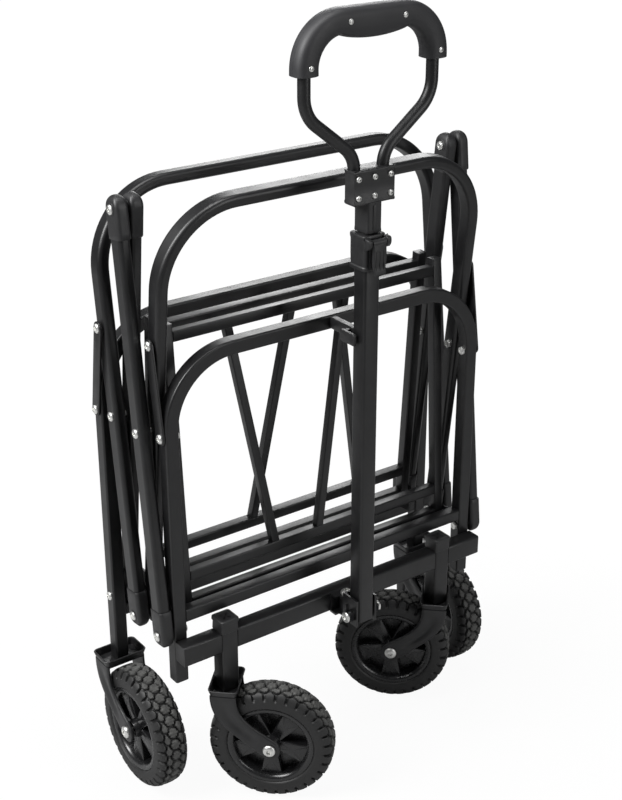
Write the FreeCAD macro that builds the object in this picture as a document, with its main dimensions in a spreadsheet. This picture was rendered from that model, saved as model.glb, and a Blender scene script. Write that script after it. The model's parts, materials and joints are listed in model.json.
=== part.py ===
# Folding utility wagon frame, folded: two end frames joined on each side by a pair of scissor bars,
# two upper arches that cross the bars, a floor in two hinged halves, four wheels and a steering handle.
# X runs forward to the handle, Y to the left-hand side's far end, Z up; the origin is on the ground
# midway between the end frames. All sizes are in millimetres.
import FreeCAD, Part
import math
import os
import re
import Sketcher
from FreeCAD import Placement, Rotation, Vector

SIZES = {
    # wheels and forks
    "wheel_radius": 89, "tyre_wide": 46, "rim_radius": 59, "rim_wide": 36, "rim_wall": 5,
    "hub_radius": 15, "hub_wide": 44, "web_thick": 18, "web_skin": 2, "spoke_windows": 5, "axle_radius": 5,
    "trail": 64, "fork_gap": 5, "fork_plate": 3, "crown_low": 168, "crown_reach": 20,
    "stem_radius": 6, "stem_tall": 28, "caster_half": 190, "post_wide": 26,
    "post_top": 275, "caster_yaw": 46, "post_cap_lip": 2, "post_cap_tall": 10, "plug_long": 34,
    "fork_eye": 15, "crown_nose": 3, "cheek_front": 24, "cheek_back": 16, "window_half_angle": 21,
    "window_rib": 6, "window_lip": 3, "tyre_crown": 8, "tyre_foot": 6,
    "axle_head_radius": 9, "axle_nut_radius": 8, "axle_head_tall": 5,
    # scissor
    "fold_half": 65, "pivot_low": 275, "pivot_rise": 580, "layer_in": 253, "layer_gap": 2.5,
    "bar_wide": 26, "bar_thick": 17, "bar_round": 6, "tube_wall": 1.5,
    "cap_radius": 15, "cap_reach": 38, "cap_thick": 19, "cap_edge": 4,
    "arch_rise": 590, "arch_bend": 105,
    "link_low": 290, "link_along": 414, "link_wide": 18, "link_thick": 3, "link_gap": 0.5,
    # end frames
    "leg_wide": 20, "leg_round": 3, "frame_bend": 95, "front_top": 668, "rear_top": 680,
    "front_leg_low": 200, "cross_deep": 24, "cross_tall": 30, "cross_mid": 250,
    "rail_wide": 18, "rail_mid": 296, "rail_clear": 1, "leg_gap": 2, "foot_plug": 4,
    "rest_wide": 10, "rest_tall": 16, "rest_gap": 0.8,
    # floor halves
    "floor_back": 24, "floor_long": 410, "floor_lean": 3.5, "floor_tube": 15, "floor_half": 232,
    "floor_low_bar": 40, "floor_high_bar": 385, "brace_near": 38.5, "brace_far": 96, "brace_shift": 36,
    "brace_wide": 12,
    "ear_thick": 3, "ear_wide": 18, "ear_gap": 1, "hinge_radius": 4,
    # bolts
    "bolt_radius": 4, "head_radius": 6.5, "head_tall": 3.5, "running_gap": 0.05,
    # steering handle
    "king_out": 13, "king_radius": 5, "king_head_radius": 9, "king_nut_radius": 8, "king_head_tall": 6,
    "bracket_plate": 3, "bracket_half": 20, "bracket_nose": 13, "yoke_plate": 3, "yoke_eye": 10,
    "yoke_arm": 16, "yoke_back": 20, "yoke_deep": 32, "yoke_tall": 42, "yoke_rise": 6, "yoke_gap": 2,
    "pin_end": 9, "pin_head_radius": 8, "pin_head_tall": 4, "spring_radius": 9, "spring_long": 8,
    "spring_clear": 0.5,
    "handle_reach": 34, "tilt_pin_high": 252, "handle_wide": 25, "handle_low": 242, "handle_top": 776,
    "inner_wide": 20, "inner_low": 480, "collar_wall": 5, "collar_low": 765, "collar_top": 812,
    "lever_long": 42, "lever_thick": 6, "lever_wide": 22, "lever_drop": 8, "lever_gap": 2.5,
    "lever_pin_radius": 2, "lever_cam": 4.5, "lug_deep": 10, "lug_wide": 7, "lug_tall": 12,
    "slide_gap": 0.2,
    "plates_low": 852, "plates_tall": 44, "plates_wide": 64, "plates_thick": 28,
    "loop_radius": 8, "neck_half": 22.5, "loop_turn": 52, "neck_bend": 38, "bulge_bend": 46,
    "grip_half": 98, "grip_low": 1020, "grip_top": 1078, "grip_bend": 52,
    "grip_deep": 32, "grip_wide": 36, "grip_round": 9, "loop_seat": 16, "seat_drop": 2, "neck_long": 26,
    "screw_radius": 4, "screw_tall": 3, "screw_inset": 7, "screw_rise": 10,
    "grip_screw_radius": 3.5, "grip_screw_tall": 1.5, "grip_screw_half": 41,
}

# places that follow from the sizes
DERIVED = {
    "caster_x": "(fold_half + leg_wide / 2 + cross_deep / 2)",
    "king_x": "(fold_half + leg_wide / 2 + cross_deep + king_out)",
    "handle_x": "(fold_half + leg_wide / 2 + cross_deep + king_out + handle_reach)",
}

doc = FreeCAD.newDocument("wagon_frame")
sheet = doc.addObject("Spreadsheet::Sheet", "Sizes")
for row, (alias, value) in enumerate(SIZES.items(), start=1):
    sheet.set("A%d" % row, alias)
    sheet.set("B%d" % row, str(value))
    sheet.setAlias("B%d" % row, alias)
doc.recompute()

PARTS = []          # every sub-part, in the order it is made


def cells(text):
    """Write out the derived names in a formula and turn the rest into references to the sheet's cells."""
    for name, formula in DERIVED.items():
        text = text.replace(name, formula)
    return re.sub(r"[a-z][a-z_]+", lambda m: "Sizes." + m.group(0) if m.group(0) in SIZES else m.group(0), text)


def size(text):
    """The value of a formula of sheet names, in millimetres or degrees."""
    result = sheet.evalExpression(cells(text).replace("Sizes.", ""))
    return float(getattr(result, "Value", result))


def keep(part, label, placement=None):
    """Register an object as a sub-part with its own label and placement."""
    part.Label = label
    if placement is not None:
        part.Placement = placement
    PARTS.append(part)
    return part


def new_body(name):
    return doc.addObject("PartDesign::Body", name)


def sketch_on(body, role, name, offset=None):
    """A sketch on one of the body's own origin planes, moved along its normal by a formula."""
    sketch = body.newObject("Sketcher::SketchObject", name)
    support = [f for f in body.Origin.OriginFeatures if f.Role == role][0]
    sketch.AttachmentSupport = [(support, "")]
    sketch.MapMode = "FlatFace"
    if offset:
        sketch.setExpression("AttachmentOffset.Base.z", cells(offset))
    return sketch


def dimension(sketch, kind, refs, formula):
    """Add a driving dimension and bind it to the sheet."""
    index = sketch.addConstraint(Sketcher.Constraint(kind, *refs, size(formula)))
    sketch.setExpression("Constraints[%d]" % index, cells(formula))


def rounded_rectangle(sketch, wide, deep, radius, mid_x="0", mid_y="0"):
    """A rectangle with round corners, centred on a formula point; wide is along the sketch's x."""
    w, d, r = size(wide) / 2, size(deep) / 2, size(radius)
    cx, cy = size(mid_x), size(mid_y)
    first = sketch.GeometryCount
    corner = [(cx + w - r, cy + d - r, 0), (cx - w + r, cy + d - r, 90),
              (cx - w + r, cy - d + r, 180), (cx + w - r, cy - d + r, 270)]
    for x, y, start in corner:
        circle = Part.Circle(Vector(x, y, 0), Vector(0, 0, 1), r)
        sketch.addGeometry(Part.ArcOfCircle(circle, math.radians(start), math.radians(start + 90)))
    for i in range(4):
        a = sketch.getPoint(first + i, 2)
        b = sketch.getPoint(first + (i + 1) % 4, 1)
        sketch.addGeometry(Part.LineSegment(a, b))
    for i in range(4):
        line, arc, after = first + 4 + i, first + i, first + (i + 1) % 4
        sketch.addConstraint(Sketcher.Constraint("Tangent", arc, 2, line, 1))
        sketch.addConstraint(Sketcher.Constraint("Tangent", line, 2, after, 1))
        sketch.addConstraint(Sketcher.Constraint("Vertical" if i % 2 else "Horizontal", line))
        if i:
            sketch.addConstraint(Sketcher.Constraint("Equal", first, arc))
    dimension(sketch, "Radius", (first,), radius)
    dimension(sketch, "DistanceX", (first + 1, 3, first, 3), "%s - 2 * (%s)" % (wide, radius))
    dimension(sketch, "DistanceY", (first + 2, 3, first + 1, 3), "%s - 2 * (%s)" % (deep, radius))
    place_point(sketch, first, 3, "%s + (%s) / 2 - (%s)" % (mid_x, wide, radius),
                "%s + (%s) / 2 - (%s)" % (mid_y, deep, radius))


def place_point(sketch, geometry, point, x, y):
    """Hold a point at formula coordinates; zero and negative ones are allowed."""
    for kind, formula in (("DistanceX", x), ("DistanceY", y)):
        dimension(sketch, kind, (geometry, point), formula)


def circle_at(sketch, x, y, radius):
    """A circle whose centre and radius come from the sheet."""
    index = sketch.addGeometry(Part.Circle(Vector(size(x), size(y), 0), Vector(0, 0, 1), size(radius)))
    dimension(sketch, "Radius", (index,), radius)
    place_point(sketch, index, 3, x, y)


def pad(body, sketch, length, both=False):
    """Pad a sketch by a formula length, to both sides of its plane if asked."""
    feature = body.newObject("PartDesign::Pad", "Pad")
    feature.Profile = sketch
    feature.setExpression("Length", cells(length))
    if both:
        feature.SideType = "Symmetric"
    doc.recompute()
    return feature


def cut_through(body, sketch):
    """Pocket a sketch right through the body, both ways, and check that it removed material."""
    before = body.Shape.Volume
    feature = body.newObject("PartDesign::Pocket", "Pocket")
    feature.Profile = sketch
    feature.Type = "ThroughAll"
    feature.SideType = "Symmetric"
    doc.recompute()
    if body.Shape.Volume >= before:
        raise ValueError("a pocket in %s removed nothing" % body.Name)
    return feature


def drill(body, points, radius, role="XZ_Plane"):
    """Cross holes at formula points of a plane, right through the body."""
    sketch = sketch_on(body, role, "Holes")
    for x, y in points:
        circle_at(sketch, x, y, radius)
    cut_through(body, sketch)


def tangent_path(sketch, start, heading, moves):
    """Draw straight runs and tangent arcs in a sketch. A move is ("line", length) or
    ("arc", radius, turn); turn is in degrees, positive to the left."""
    x, y = start
    for move in moves:
        if move[0] == "line":
            nx = x + move[1] * math.cos(math.radians(heading))
            ny = y + move[1] * math.sin(math.radians(heading))
            sketch.addGeometry(Part.LineSegment(Vector(x, y, 0), Vector(nx, ny, 0)))
        else:
            side = 1 if move[2] > 0 else -1
            towards = math.radians(heading + 90 * side)
            centre = Vector(x + move[1] * math.cos(towards), y + move[1] * math.sin(towards), 0)
            begin = math.atan2(y - centre.y, x - centre.x)
            finish = begin + math.radians(move[2])
            nx = centre.x + move[1] * math.cos(finish)
            ny = centre.y + move[1] * math.sin(finish)
            circle = Part.Circle(centre, Vector(0, 0, 1), move[1])
            low, high = min(begin, finish), max(begin, finish)
            sketch.addGeometry(Part.ArcOfCircle(circle, low, high))
            heading += move[2]
        x, y = nx, ny


def arch_path(body, half, low, high, bend):
    """The centre line of an arch in the body's YZ plane: up one side, across the top and down."""
    path = sketch_on(body, "YZ_Plane", "Path")
    h, r = size(half), size(bend)
    rise, span = size(high) - size(low) - r, 2 * (h - r)
    path_moves = [("line", rise), ("arc", r, -90), ("line", span), ("arc", r, -90), ("line", rise)]
    tangent_path(path, (-h, size(low)), 90, path_moves)
    for i in range(4):
        first, second = (i, 2 if i % 2 == 0 else 1), (i + 1, 1 if i % 2 else 2)
        path.addConstraint(Sketcher.Constraint("Tangent", first[0], first[1], second[0], second[1]))
    for index, kind in ((0, "Vertical"), (2, "Horizontal"), (4, "Vertical")):
        path.addConstraint(Sketcher.Constraint(kind, index))
    path.addConstraint(Sketcher.Constraint("Equal", 1, 3))
    dimension(path, "Radius", (1,), bend)
    place_point(path, 0, 1, "-(%s)" % half, low)
    place_point(path, 4, 2, half, low)
    dimension(path, "DistanceY", (0, 1, 2, 1), "%s - (%s)" % (high, low))
    return path


def sweep(body, profile, path):
    """Pipe a profile along a path."""
    feature = body.newObject("PartDesign::AdditivePipe", "Pipe")
    feature.Profile = profile
    feature.Spine = path
    doc.recompute()
    return feature


def block(x, y, z, mid_x, mid_y, mid_z):
    """A box of formula size centred on a formula point."""
    box = doc.addObject("Part::Box", "Block")
    for field, length, middle, axis in (("Length", x, mid_x, "x"), ("Width", y, mid_y, "y"),
                                        ("Height", z, mid_z, "z")):
        box.setExpression(field, cells(length))
        box.setExpression("Placement.Base." + axis, cells("(%s) - (%s) / 2" % (middle, length)))
    return box


def box_tube(along, x, y, z, mid_x, mid_y, mid_z):
    """A straight square tube: a block bored down to the tubes' wall along one axis."""
    bore = ["(%s) + 2" % length if axis == along else "(%s) - 2 * tube_wall" % length
            for axis, length in zip("XYZ", (x, y, z))]
    return cut(block(x, y, z, mid_x, mid_y, mid_z), block(*bore, mid_x, mid_y, mid_z))


AXIS_TURNS = {"X": Rotation(Vector(0, 1, 0), 90), "Y": Rotation(Vector(1, 0, 0), -90), "Z": Rotation()}


def rod(axis, radius, length, start_x, start_y, start_z):
    """A cylinder that starts at a formula point and runs along +X, +Y or +Z."""
    cylinder = doc.addObject("Part::Cylinder", "Rod")
    cylinder.Placement = Placement(Vector(), AXIS_TURNS[axis])
    cylinder.setExpression("Radius", cells(radius))
    cylinder.setExpression("Height", cells(length))
    for letter, formula in (("x", start_x), ("y", start_y), ("z", start_z)):
        cylinder.setExpression("Placement.Base." + letter, cells(formula))
    return cylinder


def fuse(parts):
    joined = doc.addObject("Part::MultiFuse", "Fusion")
    joined.Shapes = parts
    joined.Refine = True
    return joined


def cut(base, tool):
    less = doc.addObject("Part::Cut", "Cut")
    less.Base, less.Tool = base, tool
    return less


def group(parts):
    """Separate solids that share one node."""
    together = doc.addObject("Part::Compound", "Group")
    together.Links = parts
    return together


def bolt(x, y_from, y_to, z):
    """A bolt along Y: a shank between two formula depths, with its head and its nut outside them."""
    shank = rod("Y", "bolt_radius", "(%s) - (%s)" % (y_to, y_from), x, y_from, z)
    ends = [rod("Y", "head_radius", "head_tall", x, start, z) for start in (y_to, "(%s) - head_tall" % y_from)]
    return fuse([shank] + ends)


def both_sides(make):
    """The same thing at the left (-Y) and right (+Y) sides, from make(low, high) of mirrored depths."""
    def near(low, high):
        return "-(%s)" % high, "-(%s)" % low
    return lambda low, high: [make(*near(low, high)), make(low, high)]


def bolts_at(points, low, high):
    """Pairs of bolts through the same depths on both sides of the frame."""
    made = []
    for x, z in points:
        made += both_sides(lambda a, b: bolt(x, a, b, z))(low, high)
    return made


# ---------------------------------------------------------------- where the scissor stands when folded
FOLD = math.degrees(math.atan(SIZES["fold_half"] / SIZES["pivot_rise"]))
BAR_LONG = "sqrt(fold_half * fold_half + pivot_rise * pivot_rise)"
LAYER_OUT = "(layer_in + cap_thick + layer_gap)"
OUT_HIGH, IN_LOW = LAYER_OUT + " + bar_thick / 2", "layer_in - bar_thick / 2"


def leaning(x, z, degrees):
    """The placement of a piece built upright at a pivot, with its top turned towards +X."""
    return Placement(Vector(x, 0, z), Rotation(Vector(0, 1, 0), degrees))


def tube_profile(body, mid_y, low, wide="bar_wide", thick="bar_thick", round_by="bar_round"):
    """The hollow section of a tube that rises from a formula height."""
    profile = sketch_on(body, "XY_Plane", "Profile", low)
    rounded_rectangle(profile, wide, thick, round_by, "0", mid_y)
    rounded_rectangle(profile, wide + " - 2 * tube_wall", thick + " - 2 * tube_wall",
                      round_by + " - tube_wall", "0", mid_y)
    return profile


def make_bar(label, mid_y, placement):
    """One straight scissor tube between its two end caps, drilled at the middle for its crossing bolt."""
    body = new_body(label)
    profile = tube_profile(body, mid_y, "cap_reach")
    pad(body, profile, BAR_LONG + " - 2 * cap_reach")
    drill(body, [("0", BAR_LONG + " / 2")], "bolt_radius + running_gap")
    return keep(body, label, placement)


def make_cap(name, mid_y, along, up):
    """A moulded end cap round a pivot: a rounded nose, and a foot that meets the tube's end."""
    body = new_body(name)
    plane = sketch_on(body, "XZ_Plane", "Outline", "-(%s)" % mid_y)
    r, reach, z = size("cap_radius"), size("cap_reach"), size(along)
    start, finish = (180, 360) if up > 0 else (0, 180)
    nose = Part.ArcOfCircle(Part.Circle(Vector(0, z, 0), Vector(0, 0, 1), r),
                            math.radians(start), math.radians(finish))
    far = z + up * reach
    ends = [Vector(-r, z, 0), Vector(r, z, 0)]
    plane.addGeometry(nose)
    plane.addGeometry(Part.LineSegment(ends[0], Vector(-r, far, 0)))
    plane.addGeometry(Part.LineSegment(Vector(-r, far, 0), Vector(r, far, 0)))
    plane.addGeometry(Part.LineSegment(Vector(r, far, 0), ends[1]))
    pad(body, plane, "cap_thick", both=True)
    rims = [i for i, e in enumerate(body.Shape.Edges, start=1)
            if abs(e.BoundBox.YLength) < 0.01 and abs(e.BoundBox.ZLength) + abs(e.BoundBox.XLength) > 5
            and abs(e.CenterOfMass.z - far) > 1]
    solid = body.Tip
    fillet = body.newObject("PartDesign::Fillet", "Edges")
    fillet.Base = (solid, ["Edge%d" % i for i in rims])
    fillet.setExpression("Radius", cells("cap_edge"))
    doc.recompute()
    drill(body, [("0", along)], "bolt_radius + running_gap")
    return body


def make_caps(label, depths, places, placement):
    """The caps of one pair of tubes, as separate solids of one node."""
    caps = []
    for depth in depths:
        for along, up in places:
            caps.append(make_cap(label + "_cap", depth, along, up))
    return keep(group(caps), label, placement)


def make_arch(label, layer, placement):
    """An upper arch: one tube up from the low middle pivot on each side and across the top."""
    body = new_body(label)
    path = arch_path(body, layer, "cap_reach", "arch_rise", "arch_bend")
    sweep(body, tube_profile(body, "-" + layer, "cap_reach"), path)
    drill(body, [("0", BAR_LONG + " / 2")], "bolt_radius + running_gap")
    return keep(body, label, placement)


def make_scissor():
    x, z = SIZES["fold_half"], SIZES["pivot_low"]
    front, rear = leaning(x, z, -FOLD), leaning(-x, z, FOLD)
    for side, sign in (("left", "-"), ("right", "")):
        make_bar("front_bar_" + side, sign + LAYER_OUT, front)
        make_bar("rear_bar_" + side, sign + "layer_in", rear)
    both_ends = [("0", 1), (BAR_LONG, -1)]
    make_caps("front_bar_caps", ("-" + LAYER_OUT, LAYER_OUT), both_ends, front)
    make_caps("rear_bar_caps", ("-layer_in", "layer_in"), both_ends, rear)
    make_arch("front_upper_arch", "layer_in", leaning(0, z, FOLD))
    make_arch("rear_upper_arch", LAYER_OUT, leaning(0, z, -FOLD))
    make_caps("front_arch_caps", ("-layer_in", "layer_in"), [("0", 1)], leaning(0, z, FOLD))
    make_caps("rear_arch_caps", ("-" + LAYER_OUT, LAYER_OUT), [("0", 1)], leaning(0, z, -FOLD))


def make_link(name, low):
    """One flat link with round ends, lying on the outer face of a post and its arch leg."""
    body = new_body(name)
    outline = sketch_on(body, "XZ_Plane", "Outline", "-(%s)" % low)
    r, far = size("link_wide") / 2, link_length()
    for middle, start in ((0, 180), (far, 0)):
        circle = Part.Circle(Vector(0, middle, 0), Vector(0, 0, 1), r)
        outline.addGeometry(Part.ArcOfCircle(circle, math.radians(start), math.radians(start + 180)))
    for side in (-1, 1):
        outline.addGeometry(Part.LineSegment(Vector(side * r, 0, 0), Vector(side * r, far, 0)))
    pad(body, outline, "link_thick", both=True)
    drill(body, [("0", "0")], "bolt_radius + running_gap")
    return body


def link_ends():
    """The folded link's pivot on the post and on the arch leg, measured from the post's foot pivot."""
    along, rise = SIZES["link_along"], SIZES["link_low"]
    turn = math.radians(FOLD)
    arm = size(BAR_LONG) - along
    return (0, rise), (-arm * math.sin(turn), along * math.cos(turn))


def link_length():
    low, high = link_ends()
    return math.hypot(high[0] - low[0], high[1] - low[1])


def make_links(label, face, sign):
    """The two links of one end frame, each with the bolt head at its arch end."""
    low, high = link_ends()
    lean = math.degrees(math.atan2(high[0] - low[0], high[1] - low[1]))
    middle = "%s + link_gap + link_thick / 2" % face
    made = []
    for side in ("-", ""):
        made.append(make_link(label + "_plate", "%s(%s)" % (side, middle)))
    outside = "%s + link_gap + link_thick" % face
    far = "%g" % link_length()
    for start in (outside, "-(%s + head_tall)" % outside):
        made.append(rod("Y", "head_radius", "head_tall", "0", start, far))
    place = leaning(sign * SIZES["fold_half"], SIZES["pivot_low"] + SIZES["link_low"], sign * lean)
    keep(group(made), label, place)


LEG_OUT = "layer_in + leg_wide / 2"
POST_MID = "(layer_in + leg_wide + leg_gap)"
REAR_RAIL = "(pivot_low - cap_radius - rail_clear - rail_wide / 2)"


def make_front_frame():
    """The front end frame: the bent lower arch, its crossbars, posts for the casters and the bracket."""
    body = new_body("front_arch")
    path = arch_path(body, "layer_in", "front_leg_low", "front_top", "frame_bend")
    sweep(body, tube_profile(body, "-layer_in", "front_leg_low", "leg_wide", "leg_wide", "leg_round"), path)
    drill(body, [("0", "pivot_low"), ("0", "pivot_low + link_low")], "bolt_radius")
    keep(body, "front_arch", Placement(Vector(SIZES["fold_half"], 0, 0), Rotation()))
    plugs = []
    for side in ("-", ""):
        plugs.append(block("leg_wide", "leg_wide", "foot_plug", "fold_half", side + "layer_in",
                           "front_leg_low - foot_plug / 2"))
    bar_x = "fold_half + leg_wide / 2 + cross_deep / 2"
    outer_end = "layer_in + leg_wide / 2"
    inner = "2 * (caster_half - post_wide / 2)"
    stub = "%s - caster_half - post_wide / 2" % outer_end
    bars = [box_tube("Y", "cross_deep", inner, "cross_tall", bar_x, "0", "cross_mid")]
    for side in ("-", ""):
        middle = "%s(caster_half + post_wide / 2 + (%s) / 2)" % (side, stub)
        bars.append(box_tube("Y", "cross_deep", stub, "cross_tall", bar_x, middle, "cross_mid"))
    keep(group(bars), "steering_crossbar")
    across = "2 * (layer_in - leg_wide / 2)"
    keep(box_tube("Y", "rail_wide", across, "rail_wide", "fold_half", "0", "rail_mid"), "front_rail")
    make_caster_posts(plugs)


def make_handle_rest():
    """The moulded rest on the front arch that the folded handle leans against."""
    face, tip = "fold_half + leg_wide / 2", "handle_x - handle_wide / 2 - rest_gap"
    return block("%s - (%s)" % (tip, face), "rest_wide", "rest_tall", "(%s + %s) / 2" % (face, tip), "0",
                 "front_top")


def make_caster_posts(leg_plugs):
    """Square posts for the caster stems, with a moulded cap on top and a bored plug below."""
    low = "crown_low + fork_plate + 1"
    posts, caps, plugs = [], [], []
    for side in ("-", ""):
        mid = side + "caster_half"
        tall = "post_top - (%s)" % low
        posts.append(box_tube("Z", "post_wide", "post_wide", tall, "caster_x", mid,
                              "(post_top + %s) / 2" % low))
        caps.append(block("post_wide + 2 * post_cap_lip", "post_wide + 2 * post_cap_lip", "post_cap_tall",
                          "caster_x", mid, "post_top + post_cap_tall / 2"))
        plug = block("post_wide - 2 * tube_wall", "post_wide - 2 * tube_wall", "plug_long",
                     "caster_x", mid, "%s + plug_long / 2" % low)
        bore = rod("Z", "stem_radius + running_gap", "plug_long + 2", "caster_x", mid, "%s - 1" % low)
        plugs.append(cut(plug, bore))
    keep(group(posts), "caster_posts")
    keep(group(leg_plugs + caps + plugs + [make_handle_rest()]), "frame_plugs")


def make_rear_frame():
    """The rear end frame: one bent tube whose legs stand on the rear forks, and its two rails."""
    body = new_body("rear_arch")
    low = "crown_low + fork_plate"
    path = arch_path(body, POST_MID, low, "rear_top", "frame_bend")
    sweep(body, tube_profile(body, "-(%s)" % POST_MID, low, "leg_wide", "leg_wide", "leg_round"), path)
    drill(body, [("0", "pivot_low"), ("0", "pivot_low + link_low")], "bolt_radius")
    keep(body, "rear_arch", Placement(Vector(-SIZES["fold_half"], 0, 0), Rotation()))
    wide = "2 * (%s - leg_wide / 2)" % POST_MID
    keep(box_tube("Y", "rail_wide", wide, "rail_wide", "-fold_half", "0", REAR_RAIL), "rear_rail")


def make_fork(label, placement, stem):
    """A pressed fork: a crown plate, two raked legs, and on a caster a stem that turns in its post."""
    body = new_body(label)
    side = sketch_on(body, "XZ_Plane", "Side")
    top = size("crown_low") + size("fork_plate")
    axle_z, reach, out = size("wheel_radius"), size("trail"), size("crown_reach")
    eye, nose = size("fork_eye"), out - size("crown_nose")
    ring = Part.Circle(Vector(reach, axle_z, 0), Vector(0, 0, 1), eye)
    back_low = Vector(-out, top - size("cheek_back"), 0)
    turn = math.atan2(back_low.y - axle_z, back_low.x - reach) + math.pi / 2
    front_turn = math.atan2(top - size("cheek_front") - axle_z, nose - reach) - math.pi / 2
    low_left = Vector(reach + eye * math.cos(turn), axle_z + eye * math.sin(turn), 0)
    front_eye = Vector(reach + eye * math.cos(front_turn), axle_z + eye * math.sin(front_turn), 0)
    points = [front_eye, Vector(nose, top - size("cheek_front"), 0), Vector(nose, top, 0),
              Vector(-out, top, 0), back_low, low_left]
    for a, b in zip(points, points[1:]):
        side.addGeometry(Part.LineSegment(a, b))
    side.addGeometry(Part.ArcOfCircle(ring, turn, front_turn + 2 * math.pi))
    pad(body, side, "tyre_wide + 2 * (fork_gap + fork_plate)", both=True)
    inside = sketch_on(body, "YZ_Plane", "Inside")
    gap = "tyre_wide + 2 * fork_gap"
    half, high = size(gap) / 2, size("crown_low")
    corners = [Vector(-half, 0, 0), Vector(half, 0, 0), Vector(half, high, 0), Vector(-half, high, 0)]
    for a, b in zip(corners, corners[1:] + corners[:1]):
        inside.addGeometry(Part.LineSegment(a, b))
    cut_through(body, inside)
    drill(body, [("trail", "wheel_radius")], "axle_radius")
    if stem:
        round_stem = sketch_on(body, "XY_Plane", "Stem", "crown_low + fork_plate")
        circle_at(round_stem, "0", "0", "stem_radius")
        pad(body, round_stem, "stem_tall")
    return keep(body, label, placement)


def make_rim(label, placement):
    """A moulded rim turned about its axle, with wedge windows that leave five wide spokes."""
    body = new_body(label)
    half = sketch_on(body, "XY_Plane", "Section")
    r = [size(n) for n in ("axle_radius + running_gap", "hub_radius", "rim_radius - rim_wall", "rim_radius")]
    y = [size(n) / 2 for n in ("hub_wide", "web_thick", "rim_wide")]
    outline = [(r[0], -y[0]), (r[1], -y[0]), (r[1], -y[1]), (r[2], -y[1]), (r[2], -y[2]), (r[3], -y[2]),
               (r[3], y[2]), (r[2], y[2]), (r[2], y[1]), (r[1], y[1]), (r[1], y[0]), (r[0], y[0])]
    for a, b in zip(outline, outline[1:] + outline[:1]):
        half.addGeometry(Part.LineSegment(Vector(*a, 0), Vector(*b, 0)))
    turned = body.newObject("PartDesign::Revolution", "Turned")
    turned.Profile = half
    turned.ReferenceAxis = (half, ["V_Axis"])
    turned.Angle = 360
    doc.recompute()
    pockets = [window_pocket(body, half, side) for side in (1, -1)]
    body.Tip = pockets[-1]
    doc.recompute()
    return keep(body, label, placement)


def window_pocket(body, turned_section, side):
    """The wedge pockets on one side of the web, down to the thin skin in its middle."""
    window = sketch_on(body, "XZ_Plane", "Window", "%d * web_skin / 2" % side)
    inner, outer = size("hub_radius + window_rib"), size("rim_radius - rim_wall - window_lip")
    spread = [math.radians(90 + side * size("window_half_angle")) for side in (-1, 1)]
    arcs = []
    for radius in (inner, outer):
        circle = Part.Circle(Vector(), Vector(0, 0, 1), radius)
        arcs.append(Part.ArcOfCircle(circle, *spread))
        window.addGeometry(arcs[-1])
    for a, b in ((arcs[0].StartPoint, arcs[1].StartPoint), (arcs[0].EndPoint, arcs[1].EndPoint)):
        window.addGeometry(Part.LineSegment(a, b))
    pocket = body.newObject("PartDesign::Pocket", "Pocket")
    pocket.Profile = window
    pocket.setExpression("Length", cells("(web_thick - web_skin) / 2"))
    pocket.Reversed = side > 0
    doc.recompute()
    pattern = body.newObject("PartDesign::PolarPattern", "Windows")
    pattern.Originals = [pocket]
    pattern.Axis = (turned_section, ["V_Axis"])
    pattern.Angle = 360
    pattern.setExpression("Occurrences", cells("spoke_windows"))
    body.Tip = pattern
    doc.recompute()
    return pattern


def make_tyre(label, placement):
    """A solid tyre on the rim: a crowned tread with rounded shoulders."""
    body = new_body(label)
    section = sketch_on(body, "XY_Plane", "Section")
    low, high, half = size("rim_radius + running_gap"), size("wheel_radius"), size("tyre_wide") / 2
    shoulder, foot, bead = high - size("tyre_crown"), size("rim_wide") / 2 + 1, low + size("tyre_foot")
    mid = Part.Arc(Vector(shoulder, -half, 0), Vector(high, 0, 0), Vector(shoulder, half, 0))
    section.addGeometry(mid)
    ring = [Vector(shoulder, half, 0), Vector(bead, half, 0), Vector(low, foot, 0), Vector(low, -foot, 0),
            Vector(bead, -half, 0), Vector(shoulder, -half, 0)]
    for a, b in zip(ring, ring[1:]):
        section.addGeometry(Part.LineSegment(a, b))
    turned = body.newObject("PartDesign::Revolution", "Turned")
    turned.Profile = section
    turned.ReferenceAxis = (section, ["V_Axis"])
    turned.Angle = 360
    doc.recompute()
    return keep(body, label, placement)


def make_axle(label, placements):
    """Axle bolts with a domed head and a nut, one solid for each placement."""
    made = []
    for placement in placements:
        half = "tyre_wide / 2 + fork_gap + fork_plate"
        shank = rod("Y", "axle_radius", "2 * (%s)" % half, "trail", "-(%s)" % half, "wheel_radius")
        head = rod("Y", "axle_head_radius", "axle_head_tall", "trail", "-(%s) - axle_head_tall" % half,
                   "wheel_radius")
        nut = rod("Y", "axle_nut_radius", "axle_head_tall", "trail", half, "wheel_radius")
        whole = fuse([shank, head, nut])
        whole.Placement = placement
        made.append(whole)
    return keep(group(made), label)


def wheel_centre(placement):
    """The same placement moved from the swivel axis to the wheel's centre."""
    shift = Placement(Vector(SIZES["trail"], 0, SIZES["wheel_radius"]), Rotation())
    return placement.multiply(shift)


def make_wheels():
    yaw = SIZES["caster_yaw"]
    rear_y = size(POST_MID)
    corners = {
        "front_left": (Placement(Vector(size("caster_x"), -SIZES["caster_half"], 0),
                                 Rotation(Vector(0, 0, 1), yaw)), True),
        "front_right": (Placement(Vector(size("caster_x"), SIZES["caster_half"], 0),
                                  Rotation(Vector(0, 0, 1), yaw + 180)), True),
        "rear_left": (Placement(Vector(-SIZES["fold_half"], -rear_y, 0), Rotation()), False),
        "rear_right": (Placement(Vector(-SIZES["fold_half"], rear_y, 0), Rotation()), False),
    }
    for corner, (placement, stem) in corners.items():
        make_fork("fork_" + corner, placement, stem)
        make_rim("rim_" + corner, wheel_centre(placement))
        make_tyre("tyre_" + corner, wheel_centre(placement))
    for corner in ("front_left", "front_right"):
        make_axle("axle_" + corner, [corners[corner][0]])
    make_axle("rear_axles", [corners["rear_left"][0], corners["rear_right"][0]])


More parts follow.
